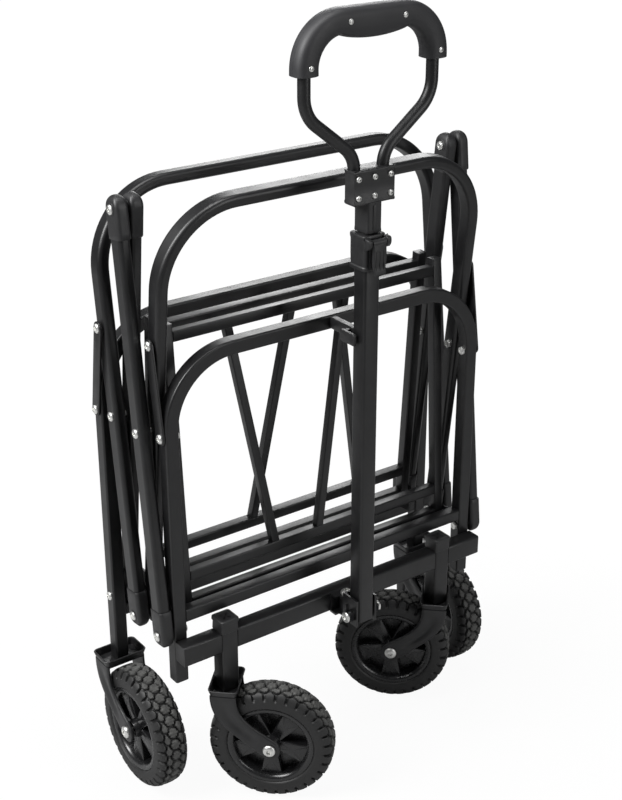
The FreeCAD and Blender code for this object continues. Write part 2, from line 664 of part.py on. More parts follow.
def make_bolts():
    """Every pivot bolt, grouped by the body that carries it."""
    low, high = "layer_in - leg_wide / 2", LAYER_OUT + " + cap_thick / 2"
    foot = bolts_at([("fold_half", "pivot_low")], low, high)
    link_face = "layer_in + leg_wide / 2 + link_gap + link_thick"
    foot += bolts_at([("fold_half", "pivot_low + link_low")], low, link_face)
    keep(group(foot), "front_frame_bolts")
    inner, outer = "layer_in - cap_thick / 2", "%s + leg_wide / 2" % POST_MID
    rear = bolts_at([("-fold_half", "pivot_low")], inner, outer)
    rear += bolts_at([("-fold_half", "pivot_low + link_low")], "%s - leg_wide / 2" % POST_MID,
                     outer + " + link_gap + link_thick")
    keep(group(rear), "rear_frame_bolts")
    top = "pivot_low + pivot_rise"
    front_bar = bolts_at([("0", top)], inner, high)
    front_bar += bolts_at([("fold_half / 2", "pivot_low + pivot_rise / 2")], IN_LOW, OUT_HIGH)
    keep(group(front_bar), "front_bar_bolts")
    rear_bar = bolts_at([("-fold_half / 2", "pivot_low + pivot_rise / 2")], IN_LOW, OUT_HIGH)
    keep(group(rear_bar), "rear_bar_bolts")
    keep(group(bolts_at([("0", "pivot_low")], inner, high)), "middle_bolts")


def make_floor(label, sign):
    """One floor half standing folded: side tubes, three cross tubes and two braces."""
    hinge_x = sign * (SIZES["fold_half"] - SIZES["floor_back"])
    place = leaning(hinge_x, SIZES["rail_mid"], -sign * SIZES["floor_lean"])
    tube, half = "floor_tube", "floor_half"
    sides = []
    for side in ("-", ""):
        mid = side + "(floor_half - floor_tube / 2)"
        outer = box_tube("Z", tube, tube, "floor_long", "0", mid, "floor_long / 2 - floor_tube / 2")
        pin = rod("Y", "hinge_radius + running_gap", "40", "0", side + "floor_half - 20", "0")
        sides.append(cut(outer, pin))
    keep(group(sides), label + "_side_tubes", place)
    across = "2 * (floor_half - floor_tube)"
    cross = []
    for height in ("0", "floor_low_bar", "floor_high_bar"):
        cross.append(box_tube("Y", tube, across, tube, "0", "0", height))
    braces = []
    low, high = size("floor_low_bar + floor_tube / 2"), size("floor_high_bar - floor_tube / 2")
    near, far = size("brace_near"), size("brace_far")
    foot_out, head_out = (near, far) if sign > 0 else (far, near)
    for side in (-1, 1):
        body = new_body(label + "_brace")
        face = sketch_on(body, "YZ_Plane", "Face")
        w = size("brace_wide") / 2
        foot, head = (side * out - sign * size("brace_shift") for out in (foot_out, head_out))
        corners = [Vector(foot - w, low, 0), Vector(foot + w, low, 0), Vector(head + w, high, 0),
                   Vector(head - w, high, 0)]
        for a, b in zip(corners, corners[1:] + corners[:1]):
            face.addGeometry(Part.LineSegment(a, b))
        pad(body, face, "brace_wide", both=True)
        braces.append(body)
    keep(group(cross + braces), label + "_cross_tubes", place)
    rail_face = "rail_wide / 2" if sign > 0 else "-rail_wide / 2"
    foot = "rail_mid - ear_wide / 2" if sign > 0 else "(%s + rail_wide / 2)" % REAR_RAIL
    tip = "(floor_back + ear_wide / 2)"
    top = "(rail_mid + ear_wide / 2)"
    ears = []
    for side in ("-", ""):
        plate = block("%s - (%s)" % (tip, rail_face), "ear_thick", "%s - (%s)" % (top, foot),
                      "%d * (fold_half - (%s + %s) / 2)" % (sign, tip, rail_face),
                      side + "(floor_half + ear_gap + ear_thick / 2)", "(%s + %s) / 2" % (top, foot))
        start = "-(floor_half + ear_gap + ear_thick)" if side else "floor_half - floor_tube + ear_gap"
        pin = rod("Y", "hinge_radius", "ear_thick + floor_tube", "%d * (fold_half - floor_back)" % sign,
                  start, "rail_mid")
        ears.append(fuse([plate, pin]))
    return ears


CHEEK_OUT = "handle_wide / 2 + yoke_gap + yoke_plate"


def make_handle():
    """The steering bracket, yoke, sliding handle, its lock, and the loop with its two-part grip."""
    x = "king_x"
    back = "fold_half + leg_wide / 2 + cross_deep"
    plates = []
    reach = "(cross_tall / 2 - bracket_plate / 2)"
    for z in ("cross_mid + " + reach, "cross_mid - " + reach):
        flat = block("king_x - (%s)" % back, "2 * bracket_half", "bracket_plate",
                     "(king_x + %s) / 2" % back, "0", z)
        nose = rod("Z", "bracket_nose", "bracket_plate", x, "0", "%s - bracket_plate / 2" % z)
        plates += [flat, nose]
    web = block("bracket_plate", "2 * bracket_half", "cross_tall", back + " + bracket_plate / 2",
                "0", "cross_mid")
    hole = rod("Z", "king_radius", "cross_tall + 4", x, "0", "cross_mid - cross_tall / 2 - 2")
    keep(cut(fuse(plates + [web]), hole), "steering_bracket")
    shank = rod("Z", "king_radius", "cross_tall", x, "0", "cross_mid - cross_tall / 2")
    head = rod("Z", "king_head_radius", "king_head_tall", x, "0", "cross_mid + cross_tall / 2")
    nut = rod("Z", "king_nut_radius", "king_head_tall", x, "0", "cross_mid - cross_tall / 2 - king_head_tall")
    keep(fuse([shank, head, nut]), "king_bolt")
    gap = "cross_tall - 2 * bracket_plate - 1"
    eye = rod("Z", "yoke_eye", gap, x, "0", "cross_mid - (%s) / 2" % gap)
    front = "handle_x - yoke_back"
    arm = block("%s - king_x" % front, "yoke_arm", gap, "(king_x + %s) / 2" % front, "0", "cross_mid")
    middle = "tilt_pin_high + yoke_rise"
    plate = block("yoke_plate", "2 * (%s)" % CHEEK_OUT, "yoke_tall", front + " + yoke_plate / 2", "0", middle)
    cheeks = [block("yoke_deep", "yoke_plate", "yoke_tall", front + " + yoke_deep / 2",
                    "%s(%s - yoke_plate / 2)" % (side, CHEEK_OUT), middle) for side in ("-", "")]
    bore = rod("Z", "king_radius + running_gap", "cross_tall", x, "0", "cross_mid - cross_tall / 2")
    pin_hole = rod("Y", "king_radius", "80", "handle_x", "-40", "tilt_pin_high")
    keep(cut(cut(fuse([eye, arm, plate] + cheeks), bore), pin_hole), "handle_yoke")
    half = CHEEK_OUT + " + pin_end"
    pin = rod("Y", "king_radius", "2 * (%s)" % half, "handle_x", "-(%s)" % half, "tilt_pin_high")
    ends = [rod("Y", "pin_head_radius", "pin_head_tall", "handle_x", start, "tilt_pin_high")
            for start in ("-(%s) - pin_head_tall" % half, half)]
    keep(fuse([pin] + ends), "tilt_pin")
    coils = []
    clear = "(pin_end - spring_long) / 2"
    for start in ("-(%s) + %s" % (half, clear), "%s + %s" % (CHEEK_OUT, clear)):
        outer = rod("Y", "spring_radius", "spring_long", "handle_x", start, "tilt_pin_high")
        inner = rod("Y", "king_radius + spring_clear", "spring_long + 2", "handle_x", start + " - 1",
                    "tilt_pin_high")
        coils.append(cut(outer, inner))
    keep(group(coils), "tilt_springs")
    make_mast()
    make_loop()


def square_tube(wide, low, high, bore):
    """A square tube on the handle's axis, hollow to a formula width."""
    tall = "(%s) - (%s)" % (high, low)
    outer = block(wide, wide, tall, "handle_x", "0", "(%s + %s) / 2" % (low, high))
    inner = block(bore, bore, tall + " + 2", "handle_x", "0", "(%s + %s) / 2" % (low, high))
    return cut(outer, inner)


def make_mast():
    tube = square_tube("handle_wide", "handle_low", "handle_top", "handle_wide - 2 * tube_wall")
    bore = rod("Y", "king_radius + running_gap", "80", "handle_x", "-40", "tilt_pin_high")
    keep(cut(tube, bore), "handle_outer_tube")
    keep(square_tube("inner_wide", "inner_low", "plates_low + 4", "inner_wide - 2 * tube_wall"),
         "handle_inner_tube")
    wide = "handle_wide + 2 * collar_wall"
    shell = block(wide, wide, "collar_top - collar_low", "handle_x", "0", "(collar_low + collar_top) / 2")
    lower = block("handle_wide", "handle_wide", "handle_top - collar_low + slide_gap", "handle_x", "0",
                  "(collar_low + handle_top) / 2")
    passage = "inner_wide + 2 * slide_gap"
    upper = block(passage, passage, "2 * (collar_top - handle_top)", "handle_x", "0", "collar_top")
    pivot, ear_x = "collar_top - lever_drop", "handle_x + (%s) / 2 + lug_deep / 2" % wide
    ear_y = "(lever_wide / 2 + 2 * slide_gap + lug_wide / 2)"
    lugs = [block("lug_deep", "lug_wide", "lug_tall", ear_x, side + ear_y, pivot) for side in ("-", "")]
    keep(cut(cut(fuse([shell] + lugs), lower), upper), "lock_collar")
    lever_x = "handle_x + (%s) / 2 + lever_gap + lever_thick / 2" % wide
    plate = block("lever_thick", "lever_wide", "lever_long", lever_x, "0", pivot + " - lever_long / 2")
    cam = rod("Y", "lever_cam", "lever_wide", lever_x, "-lever_wide / 2", pivot)
    hole = rod("Y", "lever_pin_radius + running_gap", "lever_wide + 2", lever_x, "-lever_wide / 2 - 1", pivot)
    keep(cut(fuse([plate, cam]), hole), "lock_lever")
    keep(rod("Y", "lever_pin_radius", "lever_wide + 2 * slide_gap", lever_x, "-lever_wide / 2 - slide_gap",
             pivot), "lever_pin")
    plates = []
    for side in (-1, 1):
        half = block("plates_thick / 2", "plates_wide", "plates_tall",
                     "handle_x + %d * plates_thick / 4" % side, "0", "plates_low + plates_tall / 2")
        seat = "(loop_seat - seat_drop)"
        slot = block("inner_wide", "inner_wide", "2 * " + seat, "handle_x", "0", "plates_low")
        bores = [rod("Z", "loop_radius + slide_gap / 2", "plates_tall", "handle_x", s + "neck_half",
                     "plates_low + " + seat) for s in ("-", "")]
        plates.append(cut(cut(half, slot), fuse(bores)))
    keep(group(plates), "loop_plates")


def grip_run(sketch):
    """The grip's centre line: up one side, across the top and down the other."""
    half, bend = size("grip_half"), size("grip_bend")
    rise = size("grip_top") - size("grip_low") - bend
    tangent_path(sketch, (-half, size("grip_low")), 90,
                 [("line", rise), ("arc", bend, -90), ("line", 2 * (half - bend)), ("arc", bend, -90),
                  ("line", rise)])


def make_loop():
    """The round tube: out of the plates, round the two bulges and through the grip."""
    turn, r1, r2 = size("loop_turn"), size("neck_bend"), size("bulge_bend")
    half, neck = size("grip_half"), size("neck_half")
    low = size("plates_low + loop_seat")
    slant = math.radians(turn)
    sideways = (half - neck - (r1 + r2) * (1 - math.cos(slant))) / math.sin(slant)
    neck_long = size("neck_long")
    height = low + neck_long + (r1 + r2) * math.sin(slant) + sideways * math.cos(slant)
    bend = size("grip_bend")
    side = [("line", neck_long), ("arc", r1, turn), ("line", sideways), ("arc", r2, -turn)]
    rise = size("grip_top") - bend - height
    across = [("line", rise), ("arc", bend, -90), ("line", 2 * (half - bend)), ("arc", bend, -90),
              ("line", rise)]
    back = [("arc", r2, -turn), ("line", sideways), ("arc", r1, turn), ("line", neck_long)]
    body = new_body("handle_loop")
    path = sketch_on(body, "YZ_Plane", "Path")
    tangent_path(path, (-neck, low), 90, side + across + back)
    profile = sketch_on(body, "XY_Plane", "Section", "%g" % low)
    circle_at(profile, "0", "-neck_half", "loop_radius")
    circle_at(profile, "0", "-neck_half", "loop_radius - tube_wall")
    sweep(body, profile, path)
    place = Placement(Vector(size("handle_x"), 0, 0), Rotation())
    keep(body, "handle_loop", place)
    for label, sign in (("grip_front", 1), ("grip_rear", -1)):
        half_grip = new_body(label)
        run = sketch_on(half_grip, "YZ_Plane", "Run")
        grip_run(run)
        shell = sketch_on(half_grip, "XY_Plane", "Shell", "grip_low")
        y, r = -size("grip_half"), size("loop_radius + slide_gap / 2")
        out, wide = size("grip_deep") / 2, size("grip_wide") / 2
        soft = size("grip_round")
        corner = [Vector(0, y - r, 0), Vector(0, y - wide, 0), Vector(sign * (out - soft), y - wide, 0),
                  Vector(sign * out, y - wide + soft, 0), Vector(sign * out, y + wide - soft, 0),
                  Vector(sign * (out - soft), y + wide, 0), Vector(0, y + wide, 0), Vector(0, y + r, 0)]
        for a, b in zip(corner, corner[1:]):
            shell.addGeometry(Part.LineSegment(a, b))
        inner = Part.Arc(corner[-1], Vector(sign * r, y, 0), corner[0])
        shell.addGeometry(inner)
        sweep(half_grip, shell, run)
        keep(half_grip, label, place)
    face = "handle_x + plates_thick / 2"
    screws = []
    for z in ("plates_low + screw_rise", "plates_low + plates_tall - screw_rise"):
        for y in ("-(plates_wide / 2 - screw_inset)", "0", "plates_wide / 2 - screw_inset"):
            screws.append(rod("X", "screw_radius", "screw_tall", face, y, z))
    for out, z in (("grip_half", "grip_low + screw_rise"), ("grip_screw_half", "grip_top")):
        for side in ("-", ""):
            screws.append(rod("X", "grip_screw_radius", "grip_screw_tall", "handle_x + grip_deep / 2",
                              side + out, z))
    keep(group(screws), "handle_screws")


make_front_frame()
make_rear_frame()
make_scissor()
make_links("front_links", LEG_OUT, 1)
make_links("rear_links", "%s + leg_wide / 2" % POST_MID, -1)
make_bolts()
keep(group(make_floor("front_floor", 1)), "front_floor_hinges")
keep(group(make_floor("rear_floor", -1)), "rear_floor_hinges")
make_wheels()
make_handle()

doc.recompute()
for item in doc.Objects:
    if "Invalid" in item.State or "Error" in item.State:
        raise ValueError("%s failed: %s" % (item.Label, item.State))
os.makedirs("parts", exist_ok=True)
for part in PARTS:
    shape = part.Shape
    if shape.isNull() or not shape.isValid():
        raise ValueError("%s has no valid shape" % part.Label)
    shape.exportStep("parts/%s.step" % part.Label)
print("%d sub-parts" % len(PARTS))
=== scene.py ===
# %% [markdown]
# # A folding wagon frame, folded flat and standing on its wheels
#
# A garden wagon folds to the width of its own wheels. What stands here is the bare steel frame:
# two end arches on four forks, a pair of scissor bars and an upper arch on each side of the middle,
# a floor in two halves that hang upright between the arches, and a steering handle in front.
# The CAD model in model.glb hands over every piece at its real size and place. This script gives each piece
# the surface that it has on the real wagon: some keep their own mesh and get a finish, the rest
# are modelled again with the edges, treads, dimples and windings that a moulding or a pressing has.
#
# Everything is in metres: +X points forward to the handle, +Y across the frame, +Z up, and the
# ground is z = 0.

# %%
import json
import math
import bpy
import numpy as np
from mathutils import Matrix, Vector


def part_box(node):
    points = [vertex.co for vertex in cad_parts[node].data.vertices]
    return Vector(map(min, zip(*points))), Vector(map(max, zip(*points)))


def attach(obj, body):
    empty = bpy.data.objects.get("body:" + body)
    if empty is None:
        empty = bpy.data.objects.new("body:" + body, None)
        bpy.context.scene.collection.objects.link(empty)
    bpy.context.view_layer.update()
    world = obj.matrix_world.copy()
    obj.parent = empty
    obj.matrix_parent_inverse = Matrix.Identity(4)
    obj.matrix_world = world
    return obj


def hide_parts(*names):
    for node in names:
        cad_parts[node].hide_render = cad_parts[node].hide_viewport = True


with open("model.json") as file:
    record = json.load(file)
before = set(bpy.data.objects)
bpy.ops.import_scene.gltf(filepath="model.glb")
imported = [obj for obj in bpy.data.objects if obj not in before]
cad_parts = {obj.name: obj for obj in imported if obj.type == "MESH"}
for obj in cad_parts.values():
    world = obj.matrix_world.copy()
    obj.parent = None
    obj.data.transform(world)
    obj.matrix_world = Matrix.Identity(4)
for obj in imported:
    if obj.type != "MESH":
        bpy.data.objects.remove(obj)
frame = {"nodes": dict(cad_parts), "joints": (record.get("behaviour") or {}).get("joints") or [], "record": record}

MM = 0.001
TURN = 2 * math.pi
X, Y, Z = np.eye(3)
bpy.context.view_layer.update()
JOINT = {joint["name"]: np.array(joint["pos_m"]) for joint in frame["joints"] if "pos_m" in joint}
AXIS = {joint["name"]: np.array(joint["axis"], float) for joint in frame["joints"]}
BODY = {node: body for body, nodes in frame["record"]["behaviour"]["bodies"].items() for node in nodes}
SLOT = {part["node"]: part["material_slot"] for part in frame["record"]["subparts"]}
MADE = []

# %% [markdown]
# ## Tools: one way to build every solid
#
# Tubes, bolt heads, tyres, caps and grips are all the same kind of surface: a stack of closed
# rings, each joined to the next. A tube is one outline repeated along a path; a bolt head is a
# circle that changes size on its way up; a moulded plate is an outline that steps inwards as it
# rounds its edge. So one function turns a stack of rings into faces, and the shapes differ only
# in the formula for the rings. Sculpting each piece by hand would lose the real sizes, and
# boolean cuts would leave edges that are too sharp for painted steel.

# %%
def skin(rings, looped=False):
    """Points and faces of a stack of closed rings. rings is an array of (rings, points, 3). Ring i joins
    ring i + 1 by quads; looped joins the last to the first, otherwise each end is closed by a fan of
    triangles to its middle. Faces are turned outwards by the sign of the volume: the sum over triangles
    of a . (b x c) / 6."""
    rings = np.asarray(rings, float)
    count, around = rings.shape[:2]
    points = rings.reshape(-1, 3)
    i, j = np.meshgrid(np.arange(count if looped else count - 1), np.arange(around), indexing="ij")
    here, there, after = i * around, ((i + 1) % count) * around, (j + 1) % around
    quads = np.stack([here + j, here + after, there + after, there + j], -1).reshape(-1, 4)
    fans = np.zeros((0, 3), int)
    if not looped:
        k = np.arange(around)
        base, first = (count - 1) * around, len(points)
        bottom = np.stack([np.roll(k, -1), k, np.full(around, first)], -1)
        top = np.stack([base + k, base + np.roll(k, -1), np.full(around, first + 1)], -1)
        points = np.vstack([points, rings[0].mean(0), rings[-1].mean(0)])
        fans = np.vstack([bottom, top])
    corners = np.vstack([quads[:, [0, 1, 2]], quads[:, [0, 2, 3]], fans])
    a, b, c = (points[corners[:, n]] - points[0] for n in range(3))
    if np.einsum("ij,ij->", a, np.cross(b, c)) < 0:
        quads, fans = quads[:, ::-1], fans[:, ::-1]
    return points, quads, fans


def piece(name, skins, body, material, slot, instead_of=(), uv=None, crease=38):
    """One object made of several skins, smooth except where faces meet at more than crease degrees. It
    rides on a body, takes a finish, and stands in for the nodes in instead_of. uv holds a pair per point."""
    points, faces, start = [], [], 0
    for skin_points, quads, fans in skins:
        points.append(skin_points)
        faces += (quads + start).tolist() + (fans + start).tolist()
        start += len(skin_points)
    mesh = bpy.data.meshes.new(name)
    mesh.from_pydata(np.vstack(points).tolist(), [], faces)
    mesh.polygons.foreach_set("use_smooth", np.ones(len(faces), bool))
    mesh.set_sharp_from_angle(angle=math.radians(crease))
    if uv is not None:
        owner = np.zeros(len(mesh.loops), np.int32)
        mesh.loops.foreach_get("vertex_index", owner)
        mesh.uv_layers.new(name="around_and_radius").data.foreach_set("uv", uv[owner].ravel())
    mesh.materials.append(material)
    obj = bpy.data.objects.new(name, mesh)
    bpy.context.scene.collection.objects.link(obj)
    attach(obj, body)
    if instead_of:
        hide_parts(*instead_of)
    MADE.append(obj)
    return obj


def unit(v):
    """A vector, or each vector of an array, divided by its own length."""
    v = np.asarray(v, float)
    return v / np.linalg.norm(v, axis=-1, keepdims=True)


def beside(axis):
    """Two unit vectors that are square to an axis and to each other."""
    side = unit(np.cross(axis, Z if abs(axis[2]) < 0.9 else X))
    return side, np.cross(axis, side)


def put(flat, heights, origin, across, up, out):
    """Rings in space from rings in a plane: flat is (rings, points, 2) and heights one value per ring.
    A point is origin + flat x times across + flat y times up + its height times out."""
    flat, heights = np.asarray(flat, float), np.asarray(heights, float)
    return (np.asarray(origin) + flat[..., :1] * across + flat[..., 1:] * up
            + heights[:, None, None] * np.asarray(out))

# %% [markdown]
# Outlines are drawn flat. A rounded rectangle is four quarter circles, a link is two half circles,
# and anything else is a few corners that get eased. `slab` then gives an outline its thickness:
# each level says how far the outline has stepped in and how high it is, which is how the rounded
# edge of a moulding, the lip of a cap and the tray on top of a fork are all described.

# %%
def rounded(wide, tall, radius, steps=6):
    """A rectangle with round corners: four quarter circles about the corners' own centres."""
    turn = np.linspace(0, math.pi / 2, steps)
    loop = []
    for quarter, (sx, sy) in enumerate(((1, 1), (-1, 1), (-1, -1), (1, -1))):
        angle = turn + quarter * math.pi / 2
        centre = np.array([sx * (wide / 2 - radius), sy * (tall / 2 - radius)])
        loop.append(centre + radius * np.stack([np.cos(angle), np.sin(angle)], -1))
    return np.vstack(loop)


def circle(radius, steps=32):
    """Points spaced evenly round a circle about the origin."""
    angle = np.arange(steps) * TURN / steps
    return radius * np.stack([np.cos(angle), np.sin(angle)], -1)


def stadium(start, end, radius, steps=14):
    """Two half circles about two points of the plane, joined by straight sides."""
    start, end = np.asarray(start, float), np.asarray(end, float)
    heading = math.atan2(*(end - start)[::-1])
    half = np.linspace(-math.pi / 2, math.pi / 2, steps)
    ends = [c + radius * np.stack([np.cos(half + h), np.sin(half + h)], -1)
            for c, h in ((end, heading), (start, heading + math.pi))]
    return np.vstack(ends)


def eased(corners, steps=5):
    """A closed outline whose corners are (x, y, cut): each corner becomes a quadratic curve that starts
    and ends cut away from it along its two sides."""
    p = np.array([c[:2] for c in corners], float)
    cut = np.array([c[2] for c in corners], float)[:, None]
    before, after = unit(np.roll(p, 1, 0) - p), unit(np.roll(p, -1, 0) - p)
    t = np.linspace(0, 1, steps)[:, None, None]
    curve = (1 - t) ** 2 * (p + before * cut) + 2 * t * (1 - t) * p + t ** 2 * (p + after * cut)
    return curve.transpose(1, 0, 2).reshape(-1, 2)


def inwards(outline):
    """The unit vector that points into a closed outline at each of its points."""
    along = unit(np.roll(outline, -1, 0) - np.roll(outline, 1, 0))
    area = np.sum(outline[:, 0] * np.roll(outline[:, 1], -1) - np.roll(outline[:, 0], -1) * outline[:, 1])
    return math.copysign(1, area) * np.stack([-along[:, 1], along[:, 0]], -1)


def edge_levels(low, high, low_edge, high_edge=None, steps=4):
    """Levels (step in, height) of a plate whose two edges are rounded by quarter circles."""
    high_edge = low_edge if high_edge is None else high_edge
    t = np.linspace(0, math.pi / 2, steps)
    bottom = np.stack([low_edge * (1 - np.sin(t)), low + low_edge * (1 - np.cos(t))], -1)
    top = np.stack([high_edge * (1 - np.cos(t)), high - high_edge * (1 - np.sin(t))], -1)
    return np.vstack([bottom, top])


def slab(outline, levels, origin, across, up, out):
    """An outline carried through levels of (step in, height)."""
    levels = np.asarray(levels, float)
    flat = outline[None] + levels[:, :1, None] * inwards(outline)[None]
    return skin(put(flat, levels[:, 1], origin, across, up, out))


def turned(profile, origin, axis, steps=40, looped=False):
    """A solid of revolution: profile is a list of (radius, height along the axis)."""
    profile, axis = np.asarray(profile, float), unit(axis)
    flat = profile[:, :1, None] * circle(1, steps)[None]
    return skin(put(flat, profile[:, 1], origin, *beside(axis), axis), looped)


def carried(outline, path, normals, sizes=None, looped=False):
    """An outline carried along a path. Its x follows the normals, kept square to the path, and its y the
    cross product of the path's direction and the normal. sizes scales x and y at each step."""
    path, normals = np.asarray(path, float), np.asarray(normals, float) * np.ones_like(path)
    along = unit(np.gradient(path, axis=0))
    normals = unit(normals - np.sum(normals * along, 1, keepdims=True) * along)
    flat = outline[None] * (np.ones((len(path), 1, 2)) if sizes is None else np.asarray(sizes)[:, None])
    side = np.cross(along, normals)
    rings = path[:, None] + flat[..., :1] * normals[:, None] + flat[..., 1:] * side[:, None]
    return skin(rings, looped)


def solids(node):
    """The points of each separate solid in a node. Points that share a place are merged, then each
    takes the lowest number that it can reach along the mesh's edges."""
    mesh = frame["nodes"][node].data
    points = np.zeros(len(mesh.vertices) * 3)
    mesh.vertices.foreach_get("co", points)
    points = points.reshape(-1, 3) @ np.array(frame["nodes"][node].matrix_world.to_3x3()).T
    points = points + np.array(frame["nodes"][node].matrix_world.translation)
    edges = np.zeros(len(mesh.edges) * 2, int)
    mesh.edges.foreach_get("vertices", edges)
    _, same = np.unique(np.round(points, 6), axis=0, return_inverse=True)
    ends = same.ravel()[edges.reshape(-1, 2)]
    label = np.arange(same.max() + 1)
    while True:
        low = np.minimum(label[ends[:, 0]], label[ends[:, 1]])
        np.minimum.at(label, ends[:, 0], low)
        np.minimum.at(label, ends[:, 1], low)
        if np.array_equal(label[ends[:, 0]], label[ends[:, 1]]):
            break
    group = label[same.ravel()]
    return [points[group == g] for g in np.unique(group)]


def sideways(points):
    """The unit vector along Y that points from the frame's middle towards some points."""
    return Y * math.copysign(1, span(points)[2][1])


def smooth(x):
    """0 below 0, 1 above 1, and 3x^2 - 2x^3 between."""
    x = np.clip(x, 0, 1)
    return x * x * (3 - 2 * x)


def span(points):
    """Lowest corner, highest corner and middle of some points."""
    low, high = points.min(0), points.max(0)
    return low, high, (low + high) / 2

print("tools ready")

# %% [markdown]
# ## Finishes
#
# Every finish starts from what the piece is made of. Patterns are measured in the object's own
# metres, so a grain of half a millimetre is half a millimetre on every piece. Colours are given
# as the sRGB codes a paint card would carry and turned into linear light by one function.

# %%
def linear(code):
    """Linear red, green, blue and alpha of an sRGB hex code: below 0.04045 divide by 12.92, above it
    raise (c + 0.055) / 1.055 to the power 2.4."""
    c = np.array([int(code[i:i + 2], 16) for i in (1, 3, 5)]) / 255
    return (*np.where(c <= 0.04045, c / 12.92, ((c + 0.055) / 1.055) ** 2.4).tolist(), 1.0)


def add(tree, kind, inputs=(), **settings):
    """A node with its settings; an input given as a socket is linked, anything else is its value."""
    made = tree.nodes.new(kind)
    for key, value in settings.items():
        setattr(made, key, value)
    for key, value in dict(inputs).items():
        if isinstance(value, bpy.types.NodeSocket):
            tree.links.new(value, made.inputs[key])
        else:
            made.inputs[key].default_value = value
    return made


def blank(name):
    """An empty node material and the object coordinate that its patterns are measured in."""
    material = bpy.data.materials.new(name)
    material.use_nodes = True
    tree = material.node_tree
    tree.nodes.clear()
    return material, tree, add(tree, "ShaderNodeTexCoord").outputs["Object"]


def noise(tree, where, mm, detail=3.0, rough=0.55):
    """A noise between 0 and 1 whose largest lumps are about mm millimetres across."""
    return add(tree, "ShaderNodeTexNoise", {"Vector": where, "Scale": 1 / (mm * MM), "Detail": detail,
                                            "Roughness": rough}).outputs["Fac"]


def between(tree, value, low, high, low_in=0.3, high_in=0.7):
    """The value carried from its own usual range to low and high."""
    return add(tree, "ShaderNodeMapRange", {"Value": value, "From Min": low_in, "From Max": high_in,
                                            "To Min": low, "To Max": high}).outputs["Result"]


def shade(tree, value, dark, light):
    """A colour between two hex codes."""
    mix = add(tree, "ShaderNodeMix", data_type="RGBA")
    tree.links.new(value, mix.inputs[0])
    mix.inputs[6].default_value, mix.inputs[7].default_value = linear(dark), linear(light)
    return mix.outputs[2]


def bumps(tree, layers):
    """Bumps laid over each other: layers of (height between 0 and 1, depth in millimetres)."""
    normal = None
    for height, depth in layers:
        inputs = {"Height": height, "Distance": depth * MM, "Strength": 1.0}
        if normal is not None:
            inputs["Normal"] = normal
        normal = add(tree, "ShaderNodeBump", inputs).outputs["Normal"]
    return normal


def shine(tree, **inputs):
    """The surface shader, wired to the output."""
    names = {key.replace("_", " "): value for key, value in inputs.items()}
    shader = add(tree, "ShaderNodeBsdfPrincipled", names)
    add(tree, "ShaderNodeOutputMaterial", {"Surface": shader.outputs["BSDF"]})

# %% [markdown]
# **Powder coat.** The tubes are steel, sprayed with black polyester powder and baked. The melt
# levels out but keeps a faint orange peel about a millimetre across, and handling dulls it in
# soft patches. So: a dielectric of ordinary index, nearly black, with a roughness that wanders
# a little and two shallow bumps.

# %%
def powder_coat():
    """Black polyester powder on steel: orange peel, dust, and patches dulled by hands."""
    material, tree, where = blank("black powder coat")
    handled = noise(tree, where, 60, 4)
    peel = noise(tree, where, 2.6, 1)
    dust = between(tree, noise(tree, where, 22, 5), 0, 1, 0.45, 0.75)
    shine(tree, Base_Color=shade(tree, dust, "#0f0f10", "#171718"), IOR=1.5,
          Roughness=between(tree, handled, 0.34, 0.46), Normal=bumps(tree, [(peel, 0.008)]))
    return material


def satin_coat():
    """The forks: pressed and welded plate under a thicker, duller coat of the same paint."""
    material, tree, where = blank("satin black coat on pressed steel")
    peel, sag = noise(tree, where, 1.6, 2), noise(tree, where, 14, 2)
    dust = between(tree, noise(tree, where, 18, 5), 0, 1, 0.4, 0.75)
    shine(tree, Base_Color=shade(tree, dust, "#131314", "#1c1c1d"), IOR=1.5,
          Roughness=between(tree, noise(tree, where, 30, 4), 0.36, 0.5),
          Normal=bumps(tree, [(sag, 0.10), (peel, 0.03)]))
    return material

# %% [markdown]
# **Mouldings.** End caps, the lock and the handle's clamp are glass-filled nylon out of a spark
# eroded mould: dark grey-black with an even grain of about half a millimetre. The grip is a
# softer plastic with a finer, deeper grain and a lighter grey where it catches the light. The
# rims come out of a polished mould, so they are the one glossy plastic.

# %%
def moulded_nylon():
    """Glass-filled nylon from an eroded mould."""
    material, tree, where = blank("grained black nylon")
    grain = add(tree, "ShaderNodeTexVoronoi", {"Vector": where, "Scale": 1 / (0.55 * MM)}).outputs["Distance"]
    shine(tree, Base_Color=shade(tree, noise(tree, where, 9, 4), "#141415", "#1d1d1e"), IOR=1.53,
          Roughness=between(tree, noise(tree, where, 12, 3), 0.42, 0.55), Normal=bumps(tree, [(grain, 0.022)]))
    return material


def soft_grip():
    """The grip's softer plastic, with a deeper grain."""
    material, tree, where = blank("soft grained grip plastic")
    grain = add(tree, "ShaderNodeTexVoronoi", {"Vector": where, "Scale": 1 / (0.8 * MM)}).outputs["Distance"]
    worn = noise(tree, where, 25, 4)
    shine(tree, Base_Color=shade(tree, worn, "#1f1f21", "#29292b"), IOR=1.5,
          Roughness=between(tree, worn, 0.5, 0.62), Normal=bumps(tree, [(grain, 0.03)]))
    return material


def gloss_rim():
    """Plastic from a polished mould, with the slight waves of its flow."""
    material, tree, where = blank("gloss black rim plastic")
    flow = noise(tree, where, 16, 2)
    shine(tree, Base_Color=shade(tree, noise(tree, where, 8, 4), "#111112", "#1a1a1b"), IOR=1.55,
          Roughness=between(tree, noise(tree, where, 10, 4), 0.22, 0.33), Normal=bumps(tree, [(flow, 0.06)]))
    return material
